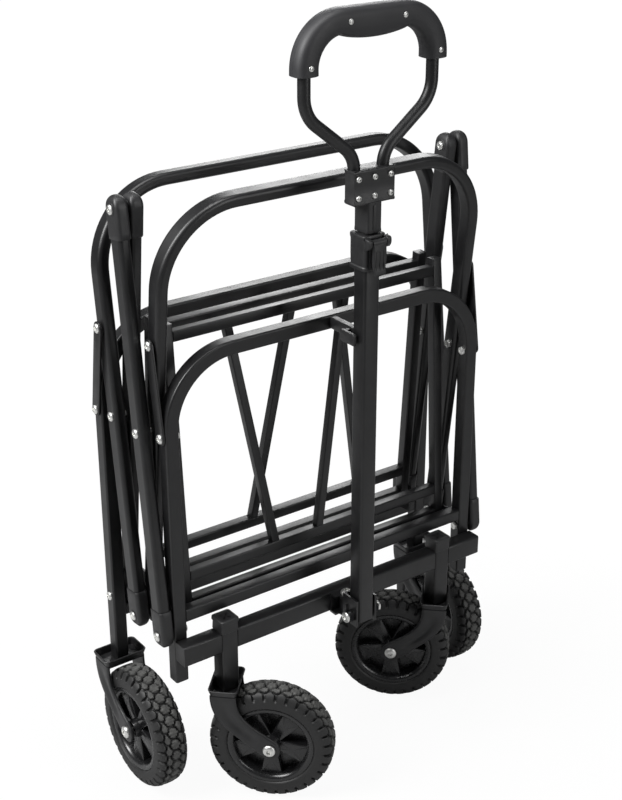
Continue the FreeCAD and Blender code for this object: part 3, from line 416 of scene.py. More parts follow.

# %% [markdown]
# ** Tyre rubber.** Carbon black in rubber is matt and deep. The tops of the blocks are painted a lighter grey, a painted highlight that
# sets them off from the grooves. The mesh carries each point's distance from the axle in its second UV number, so
# the painted
# highlight can follow the tread: only what stands within a millimetre or two of the outside is greyed, and a noise
# breaks it up.

# %%
def tyre_rubber(outer):
    """Black rubber, greyed where a point's distance from the axle is near outer: a painted highlight on the tops
    of the blocks.
    """
    material, tree, where = blank("black tyre rubber")
    carried_uv = add(tree, "ShaderNodeUVMap", uv_map="around_and_radius").outputs["UV"]
    radius = add(tree, "ShaderNodeSeparateXYZ", {"Vector": carried_uv}).outputs["Y"]
    top = between(tree, radius, 0, 1, outer - 3.8 * MM, outer - 0.6 * MM)
    patches = between(tree, noise(tree, where, 6, 5), 0.35, 1.0)
    # painted highlight: the tops of the tread blocks are painted lighter and broken into patches by a noise; the
    # same mask makes them rougher
    painted_top_highlight = add(tree, "ShaderNodeMath", {0: top, 1: patches}, operation="MULTIPLY").outputs[0]
    pores = noise(tree, where, 0.7, 3)
    shine(tree, Base_Color=shade(tree, painted_top_highlight, "#151515", "#545452"), IOR=1.52,
          Roughness=between(tree, painted_top_highlight, 0.58, 0.74, 0, 1), Normal=bumps(tree, [(pores, 0.05)]))
    return material

# %% [markdown]
# **Metal parts.** The bolts are steel with bright zinc: a real metal, so metallic is 1, with the
# faint cloudiness that a barrel-plated batch has. The springs are music wire, blackened in oil:
# still metal, but dark.

# %%
def bright_zinc():
    """Barrel-plated zinc, a little cloudy."""
    material, tree, where = blank("bright zinc plate")
    cloud, pits = noise(tree, where, 2.2, 4), noise(tree, where, 0.5, 2)
    shine(tree, Base_Color=shade(tree, cloud, "#d2d2ce", "#ececea"), Metallic=1.0,
          Roughness=between(tree, cloud, 0.34, 0.48), Normal=bumps(tree, [(pits, 0.01)]))
    return material


def spring_wire():
    """Music wire blackened in oil."""
    material, tree, where = blank("oil-blackened spring wire")
    drawn = noise(tree, where, 1.5, 3)
    shine(tree, Base_Color=shade(tree, drawn, "#1b1b1d", "#343436"), Metallic=1.0,
          Roughness=between(tree, drawn, 0.3, 0.42), Normal=bumps(tree, [(drawn, 0.01)]))
    return material


tyre_radius = (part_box("tyre_front_left")[1][2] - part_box("tyre_front_left")[0][2]) / 2
FINISH = {"black_frame": powder_coat(), "black_steel_forks": satin_coat(), "moulded_caps": moulded_nylon(),
          "grip_plastic": soft_grip(), "rim_plastic": gloss_rim(), "tyre_rubber": tyre_rubber(tyre_radius),
          "plated_steel": bright_zinc(), "dark_spring_steel": spring_wire()}
print("finishes:", ", ".join(m.name for m in FINISH.values()))

# %% [markdown]
# ## The tubes and rails
#
# The straight members are square tube. Cutting stock to length leaves a small burr that gets
# ground off, and the rolled corner of the tube has a radius of about a tenth of its width; both
# matter, because a black tube is mostly seen by the light along its corners. Each member is
# measured where it stands: its long axis and its two widths come from its own points, and a
# rounded outline is carried from end to end.

# %%
def bar_skin(points, long, across, corner=0.13, ends=0.6):
    """A straight tube over some points: the outline's widths are their spans along across and along the
    third axis, its corners a share of the narrower one, and its ends are eased by ends millimetres."""
    long, across = unit(long), unit(across)
    third = np.cross(long, across)
    spans = [points @ axis for axis in (across, third, long)]
    wide, tall = np.ptp(spans[0]), np.ptp(spans[1])
    middle = sum((s.min() + s.max()) / 2 * axis for s, axis in zip(spans[:2], (across, third)))
    outline = rounded(wide, tall, corner * min(wide, tall))
    levels = edge_levels(spans[2].min(), spans[2].max(), ends * MM)
    return slab(outline, levels, middle, across, third, long)


def square_bars(node, long=None, across=None, corner=0.13):
    """Every solid of a node as a straight tube. Without axes, each solid's longest world axis is used."""
    made = []
    for points in solids(node):
        low, high, _ = span(points)
        axis = np.eye(3)[int(np.argmax(high - low))] if long is None else long
        side = (X if axis[0] < 0.5 else Y) if across is None else across
        made.append(bar_skin(points, axis, side, corner))
    return made


def finished(node, skins, **more):
    """The new surface of one node, on the node's own body and in its own finish."""
    return piece("surface_of_" + node, skins, BODY[node], FINISH[SLOT[node]], SLOT[node],
                 instead_of=(node,), **more)


for node in ("steering_crossbar", "front_rail", "rear_rail", "caster_posts"):
    finished(node, square_bars(node))
for node in ("handle_outer_tube", "handle_inner_tube"):
    finished(node, square_bars(node, corner=0.16))
print("straight tubes:", len(MADE))

# %% [markdown]
# Each floor half leans a few degrees against its arch, so its members have no world axis to
# follow. Its side tube's own direction is found first: it is the direction in which the tube's
# points spread the most. The cross tubes and the slanted braces are then built in that plane.

# %%
def direction(points):
    """The direction in which points spread most: the first right singular vector of what is left when
    their mean is taken away."""
    return np.linalg.svd(points - points.mean(0), full_matrices=False)[2][0]


for half in ("front_floor", "rear_floor"):
    side = solids(half + "_side_tubes")
    rise = direction(side[0])
    face = unit(np.cross(Y, rise))
    finished(half + "_side_tubes", [bar_skin(points, rise, Y) for points in side])
    skins = []
    for points in solids(half + "_cross_tubes"):
        way = direction(points)
        way = Y if abs(way[1]) > 0.98 else unit(way - (way @ face) * face)
        skins.append(bar_skin(points, way, face))
    finished(half + "_cross_tubes", skins)
print("floor halves:", len(MADE))

# %% [markdown]
# The bent arches and the scissor bars already have their true rolled section, so they keep their
# meshes and take the powder coat. The bracket, the yoke and the hinge ears are cut plate: a
# bevel under a millimetre stands for the tumbled edge that such plate gets before it is painted.

# %%
def coated(node, edge=None):
    """A piece that keeps its own mesh: every slot takes the finish, and a bevel of edge millimetres
    rounds its corners if one is asked for."""
    obj = frame["nodes"][node]
    obj.data.materials.clear()
    obj.data.materials.append(FINISH[SLOT[node]])
    if edge:
        bevel = obj.modifiers.new("tumbled edge", "BEVEL")
        bevel.width, bevel.segments, bevel.limit_method = edge * MM, 2, "ANGLE"
        bevel.angle_limit = math.radians(35)
        bevel.harden_normals = True


for node in ("front_arch", "rear_arch", "front_upper_arch", "rear_upper_arch", "handle_loop",
             "front_bar_left", "front_bar_right", "rear_bar_left", "rear_bar_right"):
    coated(node)
for node in ("steering_bracket", "handle_yoke", "front_floor_hinges", "rear_floor_hinges"):
    coated(node, 0.5)
print("pieces that keep their own mesh: 9 bent or rolled, 4 cut from plate")

# %% [markdown]
# ## Bolts
#
# The pivots are shoulder bolts with a low dome, done up against a lock nut. A dome is a part of
# an ellipse turned about the bolt; a hexagon recess is pressed into it. The recess is one more
# outline inside the dome, so the head is a stack of rings whose shape goes from a circle to a
# hexagon on the way to the middle.

# %%
def six_sided(ring):
    """How far out a hexagon with an inner radius of 1 lies in the direction of each point of a ring: one
    over the cosine of the angle from the middle of the nearest side."""
    angle = np.arctan2(ring[:, 1], ring[:, 0])
    return 1 / np.cos((angle + math.pi / 6) % (math.pi / 3) - math.pi / 6)[:, None]


def dome(base, axis, radius, tall, recess=0.36, depth=0.55):
    """A domed head that starts at base: rings climb a quarter ellipse from the rim, then turn into a
    hexagon of recess times the radius and step down by depth times the height."""
    ring = circle(1, 36)
    hexagon = ring * six_sided(ring)
    t = np.linspace(0, 1, 7) * math.acos(recess * 1.25)
    outline = [ring * radius] + [ring * radius * math.cos(a) for a in t]
    heights = [0.0] + [tall * (0.22 + 0.78 * math.sin(a)) for a in t]
    outline += [hexagon * radius * recess, hexagon * radius * recess]
    heights += [heights[-1], heights[-1] - tall * depth]
    return skin(put(outline, heights, base, *beside(axis), axis))


def nut(base, axis, radius, tall):
    """A hexagon nut with a turned washer face, its corners rounded off, and a nylon ring on top."""
    ring = circle(1, 48)
    across_flats = radius * math.cos(math.pi / 6)
    hexagon = ring * np.minimum(across_flats * six_sided(ring), radius * 0.985)
    flat = ring * across_flats
    outline = [flat * 0.98, flat, hexagon, hexagon, flat, flat * 0.86, flat * 0.8, flat * 0.5, flat * 0.46]
    heights = np.array([0, 0.06, 0.08, 0.72, 0.8, 0.82, 1.0, 1.0, 0.84]) * tall
    return skin(put(outline, heights, base, *beside(axis), axis))


def bolt(points, axis, out, head, tall, radius=None):
    """A bolt over some points: its shank, a dome on the side of out and a nut on the other. head is the
    head's radius and tall its height; the shank's radius is given or is six tenths of the head's."""
    middle = span(points)[2]
    axis = unit(axis) * math.copysign(1, np.dot(axis, out))
    reach = np.ptp(points @ axis) / 2
    start, finish = middle - axis * (reach - tall), middle + axis * (reach - tall)
    shank = turned([((radius or 0.6 * head), h) for h in (0, 2 * (reach - tall))], start, axis, 24)
    return [shank, dome(finish, axis, head, tall), nut(start, -axis, head, tall)]


head_size, head_tall = 6.5 * MM, 3.5 * MM            # the pivots' domes
AXLE_HEAD, AXLE_TALL, SHANK = 9 * MM, 5 * MM, 5 * MM  # the axles' heads, and the shank of the thick bolts
for node in ("front_frame_bolts", "rear_frame_bolts", "front_bar_bolts", "rear_bar_bolts", "middle_bolts"):
    skins = []
    for points in solids(node):
        skins += bolt(points, Y, sideways(points), head_size, head_tall)
    finished(node, skins)
for corner in ("left", "right"):
    outward = AXIS["spin_front_" + corner] * math.copysign(1, AXIS["spin_front_" + corner][0])
    points = solids("axle_front_" + corner)[0]
    finished("axle_front_" + corner, bolt(points, outward, outward, AXLE_HEAD, AXLE_TALL, SHANK))
skins = []
for points in solids("rear_axles"):
    skins += bolt(points, Y, sideways(points), AXLE_HEAD, AXLE_TALL, SHANK)
finished("rear_axles", skins)
finished("king_bolt", bolt(solids("king_bolt")[0], Z, Z, 9 * MM, 6 * MM, SHANK))
finished("tilt_pin", bolt(solids("tilt_pin")[0], Y, -Y, 8 * MM, 4 * MM, SHANK))
print("bolts:", len(MADE))

# %% [markdown]
# ## End caps and links
#
# A scissor bar ends in a nylon cap: a round nose about the pivot, straight cheeks, and a foot
# that plugs the tube. The mould leaves a generous edge all round and a raised boss under the
# bolt's head. A rounded section is carried from the foot to the nose and shrinks past the pivot,
# so the nose is round seen from every side; the boss is a small turned pad.

# %%
CAP_RADIUS, CAP_REACH, CAP_NOSE = 15 * MM, 38 * MM, 17.5 * MM


def end_cap(pivot, towards, middle_y, thick):
    """A cap about a pivot, its foot towards the tube, centred at middle_y. A rounded section is carried
    from the foot to the nose; past the pivot, at a share u of the nose's length, its width falls as the
    square root of 1 - u^2 and its thickness as the square root of 1 - u^2.8, which rounds it all ways."""
    along = unit(towards - pivot)
    s = np.concatenate([[CAP_REACH, CAP_REACH - 0.5 * MM, CAP_REACH - 1.2 * MM, CAP_REACH - 8 * MM],
                        np.linspace(CAP_REACH / 2, 0, 5), -CAP_NOSE * np.sin(np.linspace(0.08, 1.55, 16))])
    u = np.clip(-s / CAP_NOSE, 0, 1)
    lip = 1 - 0.05 * smooth((s - (CAP_REACH - 1.2 * MM)) / (1.2 * MM))
    sizes = np.stack([np.sqrt(1 - u ** 2), np.sqrt(1 - u ** 2.8)], -1) * lip[:, None]
    origin = pivot * (1, 0, 1) + Y * middle_y
    outline = rounded(2 * CAP_RADIUS, thick, 5.5 * MM, 7)
    made = [carried(outline, origin + s[:, None] * along, np.cross(Y, along), sizes)]
    for out in (-1, 1):
        boss = [(9.2 * MM, -1 * MM), (9.2 * MM, 0.2 * MM), (8.6 * MM, 0.6 * MM), (6 * MM, 0.6 * MM)]
        made.append(turned(boss, origin + Y * out * thick / 2, Y * out, 36))
    return made


def caps(node, pivots):
    """All caps of a node. pivots are (pivot, the point that its tube runs to); each cap in the node takes
    the pivot that it stands nearest to."""
    skins = []
    for points in solids(node):
        low, high, middle = span(points)
        pivot, towards = min(pivots, key=lambda p: np.linalg.norm((p[0] - middle)[[0, 2]]))
        skins += end_cap(pivot, towards, middle[1], high[1] - low[1])
    finished(node, skins)


foot, crown, rear_foot = JOINT["fold"], JOINT["scissor"], JOINT["rear_frame_swing"]
caps("front_bar_caps", [(foot, crown), (crown, foot)])
caps("rear_bar_caps", [(rear_foot, crown), (crown, rear_foot)])
middle_foot = np.array([0, 0, foot[2]])
caps("front_arch_caps", [(middle_foot, JOINT["front_arch_cross"])])
caps("rear_arch_caps", [(middle_foot, JOINT["rear_arch_cross"])])
print("end caps:", len(MADE))

# %% [markdown]
# The links are flat bar, 3 mm thick, with round ends. A link runs between two pivots, so its
# outline is a stadium between them. Its arch end carries a zinc bolt of its own, which shares
# the link's node: the plates and the bolt heads become two pieces on the same body.

# %%
def links(node, pivot):
    """The plates of a node between the pivot on its post and the head at its far end."""
    found = sorted(solids(node), key=lambda p: -np.ptp(p[:, 2]))
    plates, heads = found[:2], found[2:]
    far = span(heads[0])[2]
    start, end = np.array([pivot[0], pivot[2]]), np.array([far[0], far[2]])
    skins, tops = [], []
    outline = stadium(start, end, 9 * MM)
    for points in plates:
        low, high, _ = span(points)
        skins.append(slab(outline, edge_levels(low[1], high[1], 0.6 * MM), np.zeros(3), X, Z, Y))
    for points in heads:
        low, high, middle = span(points)
        out = sideways(points)
        tops.append(dome(middle - out * (high[1] - low[1]) / 2, out, head_size, head_tall))
    finished(node, skins)
    piece(node + "_bolt_heads", tops, BODY[node], FINISH["plated_steel"], "plated_steel")


links("front_links", JOINT["front_link_swing"])
links("rear_links", JOINT["rear_link_swing"])
print("links:", len(MADE))

# %% [markdown]
# ## Plugs, post caps and the handle rest
#
# Small mouldings close the open tube ends. The square cap on each caster post has a lip that
# overhangs the tube and a row of fine ribs to press against; it is one outline whose levels step
# out for the lip. The rest on the front arch is a saddle: a block against the arch and two ears
# that keep the folded handle from swinging.

# %%
def post_cap(points):
    """A square cap: a skirt, a shoulder that swells out, and a slightly dished top."""
    low, high, middle = span(points)
    wide, top = high[0] - low[0], high[2]
    outline = rounded(wide, wide, 5 * MM, 7)
    levels = np.array([(1.4, -20), (0.9, -19.5), (1.6, -8), (1.4, -6.5), (0, -5.5), (0, -3), (0.4, -1.2),
                       (1.6, -0.3), (3.0, 0), (4.2, -0.1), (5.0, -0.9), (9.0, -1.0)]) * MM
    return slab(outline, levels, np.array([middle[0], middle[1], top]), X, Y, Z)


EAR_OUT = 17.5 * MM         # from the handle's middle to each ear of its rest
skins = []
for points in solids("frame_plugs"):
    low, high, middle = span(points)
    long_x, tall = high[0] - low[0], high[2] - low[2]
    if long_x > 45 * MM:                       # the handle's rest
        tip = high[0]
        block = eased([(low[0], low[1], 1 * MM), (high[0], low[1], 2 * MM), (high[0], high[1], 2 * MM),
                       (low[0], high[1], 1 * MM)])
        skins.append(slab(block, edge_levels(low[2], high[2], 1.2 * MM), np.zeros(3), X, Y, Z))
        for side in (-1, 1):
            ear_y = side * EAR_OUT
            ear = rounded(30 * MM, tall, 3 * MM)
            skins.append(slab(ear, edge_levels(-2.4 * MM, 2.4 * MM, 0.9 * MM),
                              np.array([tip - 1 * MM, ear_y, middle[2]]), X, Z, Y))
            skins.append(bar_skin(np.array([[tip - 16 * MM, side * 3 * MM, middle[2] - 6 * MM],
                                            [tip - 11 * MM, ear_y, middle[2] + 6 * MM]]), Y, X))
    elif tall < 6 * MM:                        # a plug under a leg
        foot_plug = rounded(high[0] - low[0], high[1] - low[1], 3 * MM)
        skins.append(slab(foot_plug, edge_levels(low[2], high[2], 1.2 * MM, 0.2 * MM),
                          middle * (1, 1, 0), X, Y, Z))
    elif tall < 20 * MM:                       # a cap on a caster post
        skins.append(post_cap(points))
    else:                                      # the socket inside a caster post
        skins.append(slab(rounded(high[0] - low[0], high[1] - low[1], 1 * MM),
                          edge_levels(low[2], high[2], 0.5 * MM), middle * (1, 1, 0), X, Y, Z))
finished("frame_plugs", skins)
print("plugs:", len(MADE))

# %% [markdown]
# ## Wheels
#
# A wheel is a moulded rim with a solid rubber tyre pressed over it. The tyre's section is a
# rounded square that is deeper outside than inside. Its tread is cut by how far each point lies
# from a set of groove lines: two wavy grooves run round the tyre, short ones cross the middle
# band and others, half a block further on, cross the shoulders. Where a point is nearer to a
# groove than half its width, it drops by the tread's depth, with a short slope for the mould's
# draft. The distance rule keeps every block's edge crisp at any size of mesh, which modelling
# single blocks and repeating them would not do over the curve of the shoulder.

# %%
PITCHES = 32                # blocks round the tyre
TREAD_DEPTH = 4.2 * MM
RIM_RADIUS, TYRE_WIDE, HUB_WIDE = 59 * MM, 46 * MM, 44 * MM


def tread(s, turns):
    """How far the surface stands below the tyre's outside, at s metres from the crown's middle along the
    section and at a turn counted in blocks. Distances to the groove lines are in metres."""
    pitch = TURN * tyre_radius / PITCHES
    off = np.abs(s)
    wave = 6.6 * MM + 1.9 * MM * np.cos(TURN * turns)
    second = 15.4 * MM + 1.5 * MM * np.cos(TURN * turns + math.pi)

    def across(shift, tilt=0.0):
        return pitch * np.abs((turns + shift + tilt * s / MM + 0.5) % 1 - 0.5)

    round_grooves = np.minimum(np.abs(off - wave) - 1.1 * MM, np.abs(off - second) - 1.0 * MM)
    middle = np.where(off < wave, across(0.5, 0.022) - 1.0 * MM, 1)
    flank = np.where((off > wave) & (off < second), across(0.0, -0.012) - 1.15 * MM, 1)
    lugs = np.where(off > second, across(0.5) - 1.7 * MM, 1)
    clear = np.minimum(np.minimum(round_grooves, middle), np.minimum(flank, lugs))
    fade = 1 - smooth((off - 27 * MM) / (3.5 * MM))
    return TREAD_DEPTH * (1 - smooth(clear / (0.9 * MM))) * fade


def tyre(node, hub, axis):
    """A treaded tyre: a rounded section turned about the axle, pushed in by the tread's depth along the
    section's own normal."""
    inner, centre = RIM_RADIUS, tyre_radius - 23 * MM
    phi = np.linspace(-math.pi, math.pi, 97)[:-1]
    power = np.where(np.cos(phi) > 0, 0.62, 0.75)
    radial = np.where(np.cos(phi) > 0, tyre_radius - centre, centre - inner)
    section = np.stack([centre + radial * np.sign(np.cos(phi)) * np.abs(np.cos(phi)) ** power,
                        TYRE_WIDE / 2 * np.sign(np.sin(phi)) * np.abs(np.sin(phi)) ** power], -1)
    out = -inwards(section)
    steps = np.linalg.norm(np.diff(section, axis=0), axis=1)
    s = np.concatenate([[0], np.cumsum(steps)])
    s = s - s[len(phi) // 2]
    ridge = 0.5 * MM * sum(np.exp(-((section[:, 0] - r * MM) / (0.7 * MM)) ** 2) for r in (68.5, 73.5))
    columns = PITCHES * 24
    turns = np.arange(columns) * PITCHES / columns
    drop = tread(s[:, None], turns[None]) - ridge[:, None]
    radius = section[:, :1] - drop * out[:, :1]
    height = section[:, 1:] - drop * out[:, 1:]
    angle = np.arange(columns) * TURN / columns
    side, up = beside(axis)
    rings = (hub + (radius * np.cos(angle))[..., None] * side + (radius * np.sin(angle))[..., None] * up
             + height[..., None] * axis)
    made = skin(rings, looped=True)
    uv = np.stack([np.broadcast_to(angle / TURN, radius.shape), radius], -1).reshape(-1, 2)
    finished(node, [made], uv=uv, crease=50)

# %% [markdown]
# The rim is moulded in one: a hub, five wide spokes and a deep ring whose rounded lip laps over
# the foot of the tyre. A thin web closes the wheel between the spokes, half way through, so each
# wedge between two spokes is a dark pocket. A spoke is a wedge-shaped slab that widens from the
# hub to the ring, its flat face a little below the ring's lip.

# %%
def rim(node, hub, axis, first):
    """A rim about its hub: first is the direction of the first spoke. The ring's section is a closed
    outline of (radius, height, cut) that goes out over one lip and back over the other."""
    lip = [(61.6, 16.6, 1.5), (61.8, 21.2, 1.8), (56.5, 21.0, 2.0), (52.6, 18.0, 3.0), (50.8, 8.0, 3.0),
           (50.8, -8.0, 3.0), (52.6, -18.0, 3.0), (56.5, -21.0, 2.0), (61.8, -21.2, 1.8), (61.6, -16.6, 1.5),
           (58.6, -14.5, 1.0), (58.6, 14.5, 1.0)]
    skins = [turned(eased(np.array(lip) * MM, 6), hub, axis, 128, looped=True)]
    hub_half, hub_wide = HUB_WIDE / 2, 15 * MM
    barrel = eased([(0.5 * MM, -hub_half, 0), (hub_wide * 0.8, -hub_half, 1 * MM), (hub_wide, -8 * MM, 3 * MM),
                    (hub_wide, 8 * MM, 3 * MM), (hub_wide * 0.8, hub_half, 1 * MM), (0.5 * MM, hub_half, 0)], 4)
    skins.append(turned(barrel, hub, axis, 48))
    web = [(10 * MM, -1 * MM), (52 * MM, -1 * MM), (52 * MM, 1 * MM), (10 * MM, 1 * MM)]
    skins.append(turned(web, hub, axis, 96))
    side = np.cross(axis, first)
    wedge = eased([(8 * MM, -7 * MM, 0.5 * MM), (52.5 * MM, -15.5 * MM, 1 * MM),
                   (52.5 * MM, 15.5 * MM, 1 * MM), (8 * MM, 7 * MM, 0.5 * MM)])
    for spoke in range(5):
        angle = spoke * TURN / 5
        way = math.cos(angle) * first + math.sin(angle) * side
        skins.append(slab(wedge, edge_levels(-13.5 * MM, 13.5 * MM, 1.6 * MM), hub, way,
                          np.cross(axis, way), axis))
    finished(node, skins)


for corner in ("front_left", "front_right", "rear_left", "rear_right"):
    hub, axis = JOINT["spin_" + corner], unit(AXIS["spin_" + corner])
    tyre("tyre_" + corner, hub, axis)
    rim("rim_" + corner, hub, axis, -Z)
print("wheels:", len(MADE))

# %% [markdown]
# ## Forks
#
# A fork starts as flat plate. The press folds it into a crown that straddles the tyre and two
# cheeks that sweep down to the axle, and dimples each cheek so that the thin plate stays stiff.
# A cheek is a closed strip: its centre line is a cubic curve from the crown to the axle, its
# width follows a smooth rule and ends as a half circle about the axle, and its outer face is
# lowered along the middle by the dimple. The crown is a slab whose levels flare outwards into a
# shallow tray, which the post stands in.

# %%
CROWN_TOP = 170.5 * MM      # the crown plate's height over the ground


def fork(node, crown, forward, hub, cheek_out=31 * MM):
    """A fork below a crown point, trailing along forward to the hub. The cheek's centre line is the cubic
    (1 - t)^3 a + 3 t (1 - t)^2 b + 3 t^2 (1 - t) c + t^3 d, in metres forward and up."""
    out = np.cross(forward, Z)
    deep, wide, top = 38 * MM, 2 * cheek_out, CROWN_TOP
    # under the plate, up its outside, over the lip and down into the tray
    levels = np.array([(3.4, -3.4), (2.0, -2.6), (1.2, 0), (-0.6, 5), (-2.2, 9.5), (-2.4, 10.4), (-1.9, 11.0),
                       (-1.0, 11.2), (0.2, 10.6), (0.9, 9.0), (2.6, 0.6), (4.5, 0.1)]) * MM
    skins = [slab(rounded(deep, wide, 5 * MM, 6), levels, crown * (1, 1, 0) + Z * top, forward, out, Z)]
    drop = hub[2]
    trail = np.linalg.norm((hub - crown)[:2])
    a, b, c, d = (np.array(p) for p in ((-0.5 * MM, top + 1 * MM), (-1.5 * MM, top - 40 * MM),
                                        (30 * MM, drop + 26 * MM), (trail, drop)))
    t = np.linspace(0, 1, 34)[:, None]
    curve = (1 - t) ** 3 * a + 3 * t * (1 - t) ** 2 * b + 3 * t ** 2 * (1 - t) * c + t ** 3 * d
    eye = 15.5 * MM
    heading = unit(d - c)
    past = eye * np.sin(np.linspace(0, math.pi / 2, 12)[1:])[:, None]
    line = np.vstack([curve, d + past * heading])
    along = np.concatenate([t[:, 0], np.ones(len(past))])
    half = 18.5 * MM - 4.2 * MM * smooth(along * 1.5) + 1.2 * MM * smooth((along - 0.7) / 0.3)
    half[len(curve):] = np.sqrt(np.maximum(eye ** 2 - past[:, 0] ** 2, (0.3 * MM) ** 2))
    dimple = np.sin(math.pi * np.clip((along - 0.06) / 0.78, 0, 1)) ** 0.7
    here = np.arange(len(line))
    tangent = unit(line[np.minimum(here + 1, here[-1])] - line[np.maximum(here - 1, 0)])
    normal = np.stack([tangent[:, 1], -tangent[:, 0]], -1)
    v = np.linspace(-1, 1, 29)
    edge = np.sqrt(np.clip(1 - np.abs(v) ** 9, 0, 1))
    height = 2.4 * MM + (2.0 - 2.9 * dimple[:, None] * np.exp(-(v / 0.42) ** 2)) * MM * edge
    flat = line[:, None] + v[:, None] * half[:, None, None] * normal[:, None]
    face = np.concatenate([flat, height[..., None]], -1)
    back = np.concatenate([flat[:, ::-1], np.zeros((len(line), len(v), 1))], -1)
    rings = np.concatenate([face, back], 1)
    for side in (-1, 1):
        base = crown * (1, 1, 0) + out * side * (cheek_out - 4.4 * MM)
        world = base + rings[..., :1] * forward + rings[..., 1:2] * Z + rings[..., 2:] * out * side
        skins.append(skin(world))
    finished(node, skins)


for corner in ("left", "right"):
    crown_at = JOINT["swivel_" + corner]
    hub = JOINT["spin_front_" + corner]
    fork("fork_front_" + corner, crown_at, unit((hub - crown_at) * (1, 1, 0)), hub)
    hub = JOINT["spin_rear_" + corner]
    crown_at = np.array([JOINT["rear_frame_swing"][0], hub[1], 0])
    fork("fork_rear_" + corner, crown_at, X, hub)
print("forks:", len(MADE))

# %% [markdown]
# ## The handle's joint, lock and clamp
#
# The handle stands up by itself because two torsion springs sit on its tilt pin, one on each
# side of the yoke. Each is music wire wound close, with a leg at both ends. Its centre line is a
# helix whose ends run off straight, and the wire is a circle carried along it with the helix's
# own radius as the normal.

# %%
def spring(start, out, coil, wire, turns, length):
    """A wound spring from start along out: the angle grows steadily, the centre line is coil away from
    the pin, and at both ends the wire leaves along the tangent for a short leg."""
    angle = np.linspace(0, turns * TURN, int(turns * 22) + 1)
    side, up = beside(out)
    radial = np.cos(angle)[:, None] * side + np.sin(angle)[:, None] * up
    helix = start + coil * radial + (angle / (turns * TURN) * length)[:, None] * out
    leg = np.linspace(1, 0, 8)[:-1, None] * 13 * MM
    first, last = unit(helix[0] - helix[1]), unit(helix[-1] - helix[-2])
    path = np.vstack([helix[0] + leg * first, helix, helix[-1] + leg[::-1] * last])
    normals = np.vstack([np.tile(radial[0], (7, 1)), radial, np.tile(radial[-1], (7, 1))])
    return carried(circle(wire, 12), path, normals)


SPRING_INSET = 1.1 * MM     # the wire's own half thickness and a little air at each end
skins = []
for points in solids("tilt_springs"):
    low, high, middle = span(points)
    out, tall = sideways(points), high[1] - low[1] - 2 * SPRING_INSET
    skins.append(spring(middle - out * tall / 2, out, 7.9 * MM, 0.95 * MM, 3.5, tall))
finished("tilt_springs", skins, crease=60)
print("springs:", len(MADE))

# %% [markdown]
# The lock is a nylon collar squeezed by a cam lever. The collar is a rounded square sleeve with a
# lip at each end, split by a seam down the lever's side; the lever is a thin shell that follows
# the collar and kicks out at its tip, so that a thumb can get behind it.

# %%
def limits(node):
    """The lowest and highest corner of a node's box."""
    return (np.array(corner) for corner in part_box(node))


tube_low, tube_high = limits("handle_outer_tube")
mast = (tube_low + tube_high) / 2 * (1, 1, 0)
pin_low, pin_high, pin = span(solids("lever_pin")[0])
collar_low, collar_high = limits("lock_collar")
lever_low, lever_high = limits("lock_lever")
wide = 2 * (mast[0] - collar_low[0])
bottom, top = collar_low[2], collar_high[2]
sleeve = np.array([(1.5, 0), (0.4, 0.5), (0, 1.5), (0, 4.5), (1.3, 6), (1.3, 8), (0.9, 20), (0.9, 40),
                   (0.3, 42), (0, 44), (0, 46), (0.6, 47.4), (2.2, 48)]) * MM
sleeve[:, 1] = bottom + sleeve[:, 1] * (top - bottom) / sleeve[-1, 1]
skins = [slab(rounded(wide, wide, 6 * MM, 7), sleeve, mast, X, Y, Z)]
for side in (-1, 1):
    ear_y = side * (lever_high[1] + 4 * MM)
    ear = eased([(0, -9 * MM, 1 * MM), (6 * MM, -9 * MM, 3 * MM), (9.8 * MM, -3 * MM, 2 * MM),
                 (9.8 * MM, 5.5 * MM, 4 * MM), (2 * MM, 6 * MM, 2 * MM), (0, 6 * MM, 1 * MM)])
    skins.append(slab(ear, edge_levels(-3.4 * MM, 3.4 * MM, 1 * MM),
                      np.array([mast[0] + wide / 2 - 0.5 * MM, ear_y, pin[2]]), X, Z, Y))
seam = bar_skin(np.array([[mast[0] + wide / 2 - 2 * MM, -9 * MM, bottom + 2 * MM],
                          [mast[0] + wide / 2 + 0.4 * MM, -7 * MM, pin[2] - 10 * MM]]), Z, X)
skins.append(seam)
finished("lock_collar", skins)

t = np.linspace(0, 1, 18)
lever_x = pin[0] + 0.4 * MM + 1.6 * MM * np.sin(math.pi * t) + 3.2 * MM * smooth((t - 0.72) / 0.28)
path = np.stack([lever_x, 0 * t, pin[2] + 3 * MM - t * (lever_high[2] - lever_low[2] - 2 * MM)], -1)
width = 1 - 0.16 * smooth((t - 0.55) / 0.45) - 0.1 * smooth((0.15 - t) / 0.15)
thick = 1 - 0.35 * smooth((t - 0.6) / 0.4)
shell = carried(rounded(5.2 * MM, 21.6 * MM, 2.2 * MM), path, X, np.stack([thick, width], -1))
cam = turned([(3.0 * MM, -10.9 * MM), (4.3 * MM, -10.4 * MM), (4.3 * MM, 10.4 * MM), (3.0 * MM, 10.9 * MM)],
             pin, Y, 28)
grooves = [bar_skin(np.array([[lever_x[10] + 1.4 * MM, y - 1.1 * MM, path[15][2]],
                              [lever_x[10] + 3.3 * MM, y + 1.1 * MM, path[5][2]]]), Z, X, corner=0.4)
           for y in (-6 * MM, 0, 6 * MM)]
finished("lock_lever", [shell, cam] + grooves)
peg = [(1.2 * MM, pin_low[1]), (2 * MM, pin_low[1] + 0.6 * MM), (2 * MM, pin_high[1] - 0.6 * MM),
       (1.2 * MM, pin_high[1])]
finished("lever_pin", [turned(peg, pin * (1, 0, 1), Y, 20)])

